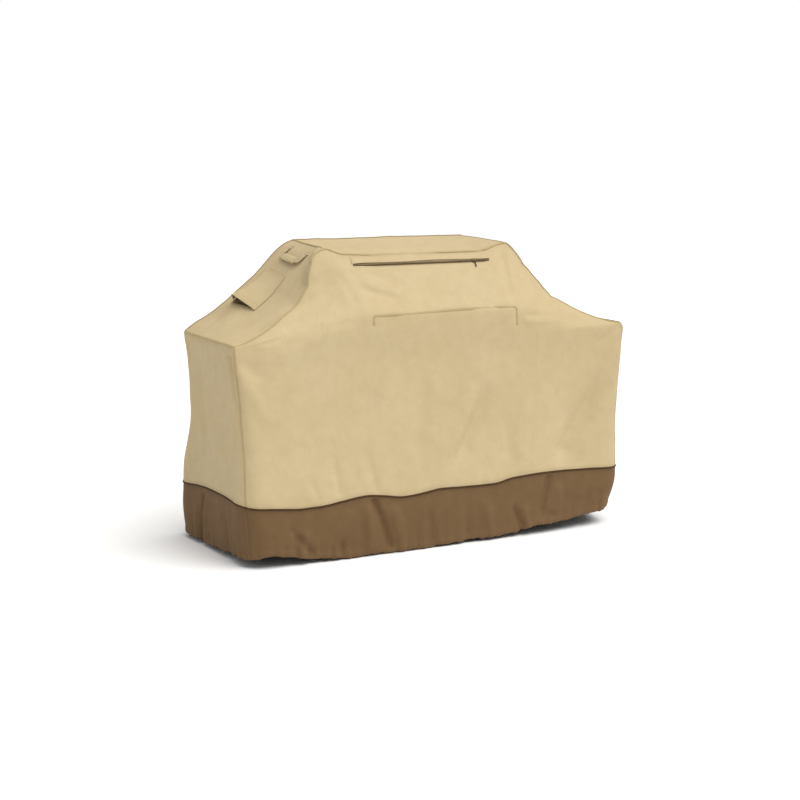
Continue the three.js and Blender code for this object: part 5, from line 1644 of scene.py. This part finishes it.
# ---------------------------------------------------------------- what the cloth was cut from
# cut: each panel's area in the CAD plus 10 mm of seam allowance round it; the skirts are straight strips, cut as rectangles and gathered
for ob, (w, l), cut, area, on in (
    (front_ob, (1.86, 1.08), 1.613, front_area, ["hood_top_cloth"]),
    (back_ob, (1.86, 1.00), 1.610, back_area, ["hood_top_cloth"]),
    (left_ob, (0.66, 0.65), 0.388, left_area, ["left_shoulder_cloth"]),
    (right_ob, (0.66, 0.65), 0.388, right_area, ["right_shoulder_cloth"]),
    (top_ob, (0.85, 0.41), 0.348, top_area, ["back_cloth"]),
    (shoulder_obs["left"][0], (0.63, 0.57), 0.280, shoulder_obs["left"][1], ["hood_top_cloth"]),
    (shoulder_obs["right"][0], (0.63, 0.57), 0.280, shoulder_obs["right"][1], ["hood_top_cloth"]),
    (skirt_obs["front"][0], (1.98, 0.29), None, skirt_obs["front"][1], ["front_cloth"]),
    (skirt_obs["back"][0], (1.98, 0.29), None, skirt_obs["back"][1], ["back_cloth"]),
    (skirt_obs["left"][0], (0.74, 0.29), None, skirt_obs["left"][1], ["left_end_cloth"]),
    (skirt_obs["right"][0], (0.74, 0.29), None, skirt_obs["right"][1], ["right_end_cloth"]),
):
    print("cut", ob.name, w, l, "modelled area", round(area, 4), "share of the cut", round(area / (cut or w * l), 3))

# ---------------------------------------------------------------- floor, light, camera
floor_m = Nodes("studio_floor")
co = floor_m.n("TexCoord").outputs["Object"]
fl = floor_m.mix(floor_m.noise(co, 2.0, 2), (0.93, 0.93, 0.93, 1), (0.95, 0.95, 0.95, 1))
floor_m.link(fl, floor_m.b.inputs["Base Color"])
floor_m.b.inputs["Roughness"].default_value = 0.9
me = bpy.data.meshes.new("floor")
n, R = 48, 14.0
vs_ = [(0, 0, -0.001)] + [(R * math.cos(2 * math.pi * i / n), R * math.sin(2 * math.pi * i / n), -0.001) for i in range(n)]
me.from_pydata(vs_, [], [(0, i + 1, (i + 1) % n + 1) for i in range(n)])
floor = bpy.data.objects.new("floor", me)
me.materials.append(floor_m.m)
bpy.context.collection.objects.link(floor)

world = bpy.data.worlds.new("studio")
bpy.context.scene.world = world
world.use_nodes = True
wt = world.node_tree
wt.nodes["Background"].inputs[0].default_value = (1, 1, 1, 1)
wt.nodes["Background"].inputs[1].default_value = 0.56
# the backdrop itself is white; what it lends the object is softer
plain = wt.nodes.new("ShaderNodeBackground")
plain.inputs[0].default_value, plain.inputs[1].default_value = (1, 1, 1, 1), 1.0
pick, path = wt.nodes.new("ShaderNodeMixShader"), wt.nodes.new("ShaderNodeLightPath")
wt.links.new(path.outputs["Is Camera Ray"], pick.inputs[0])
wt.links.new(wt.nodes["Background"].outputs[0], pick.inputs[1])
wt.links.new(plain.outputs[0], pick.inputs[2])
wt.links.new(pick.outputs[0], wt.nodes["World Output"].inputs[0])


d = bpy.data.lights.new("sun", "SUN")
d.energy, d.angle, d.color = 2.85, math.radians(58), (1, 0.99, 0.97)
o = bpy.data.objects.new("sun", d)
o.rotation_euler = Vector((-0.27, 0.36, -0.88)).to_track_quat("-Z", "Y").to_euler()
bpy.context.collection.objects.link(o)

cam = bpy.data.cameras.new("camera")
cam.lens, cam.sensor_width, cam.sensor_fit = 72.0, 36.0, "HORIZONTAL"
cam.clip_start, cam.clip_end = 0.1, 100
eye = bpy.data.objects.new("camera", cam)
yaw, pitch = 0.47069845820529305, 0.16504526181533574
fwd = Vector((math.sin(yaw) * math.cos(pitch), math.cos(yaw) * math.cos(pitch), -math.sin(pitch)))
right = Vector((math.cos(yaw), -math.sin(yaw), 0))
up = right.cross(fwd)
m = Matrix((right, up, -fwd)).transposed().to_4x4()
m.translation = Vector((-3.05388, -5.92540, 1.66557))
eye.matrix_world = m
bpy.context.collection.objects.link(eye)
bpy.context.scene.camera = eye
bpy.context.scene.view_settings.view_transform = "Standard"

bpy.context.view_layer.update()
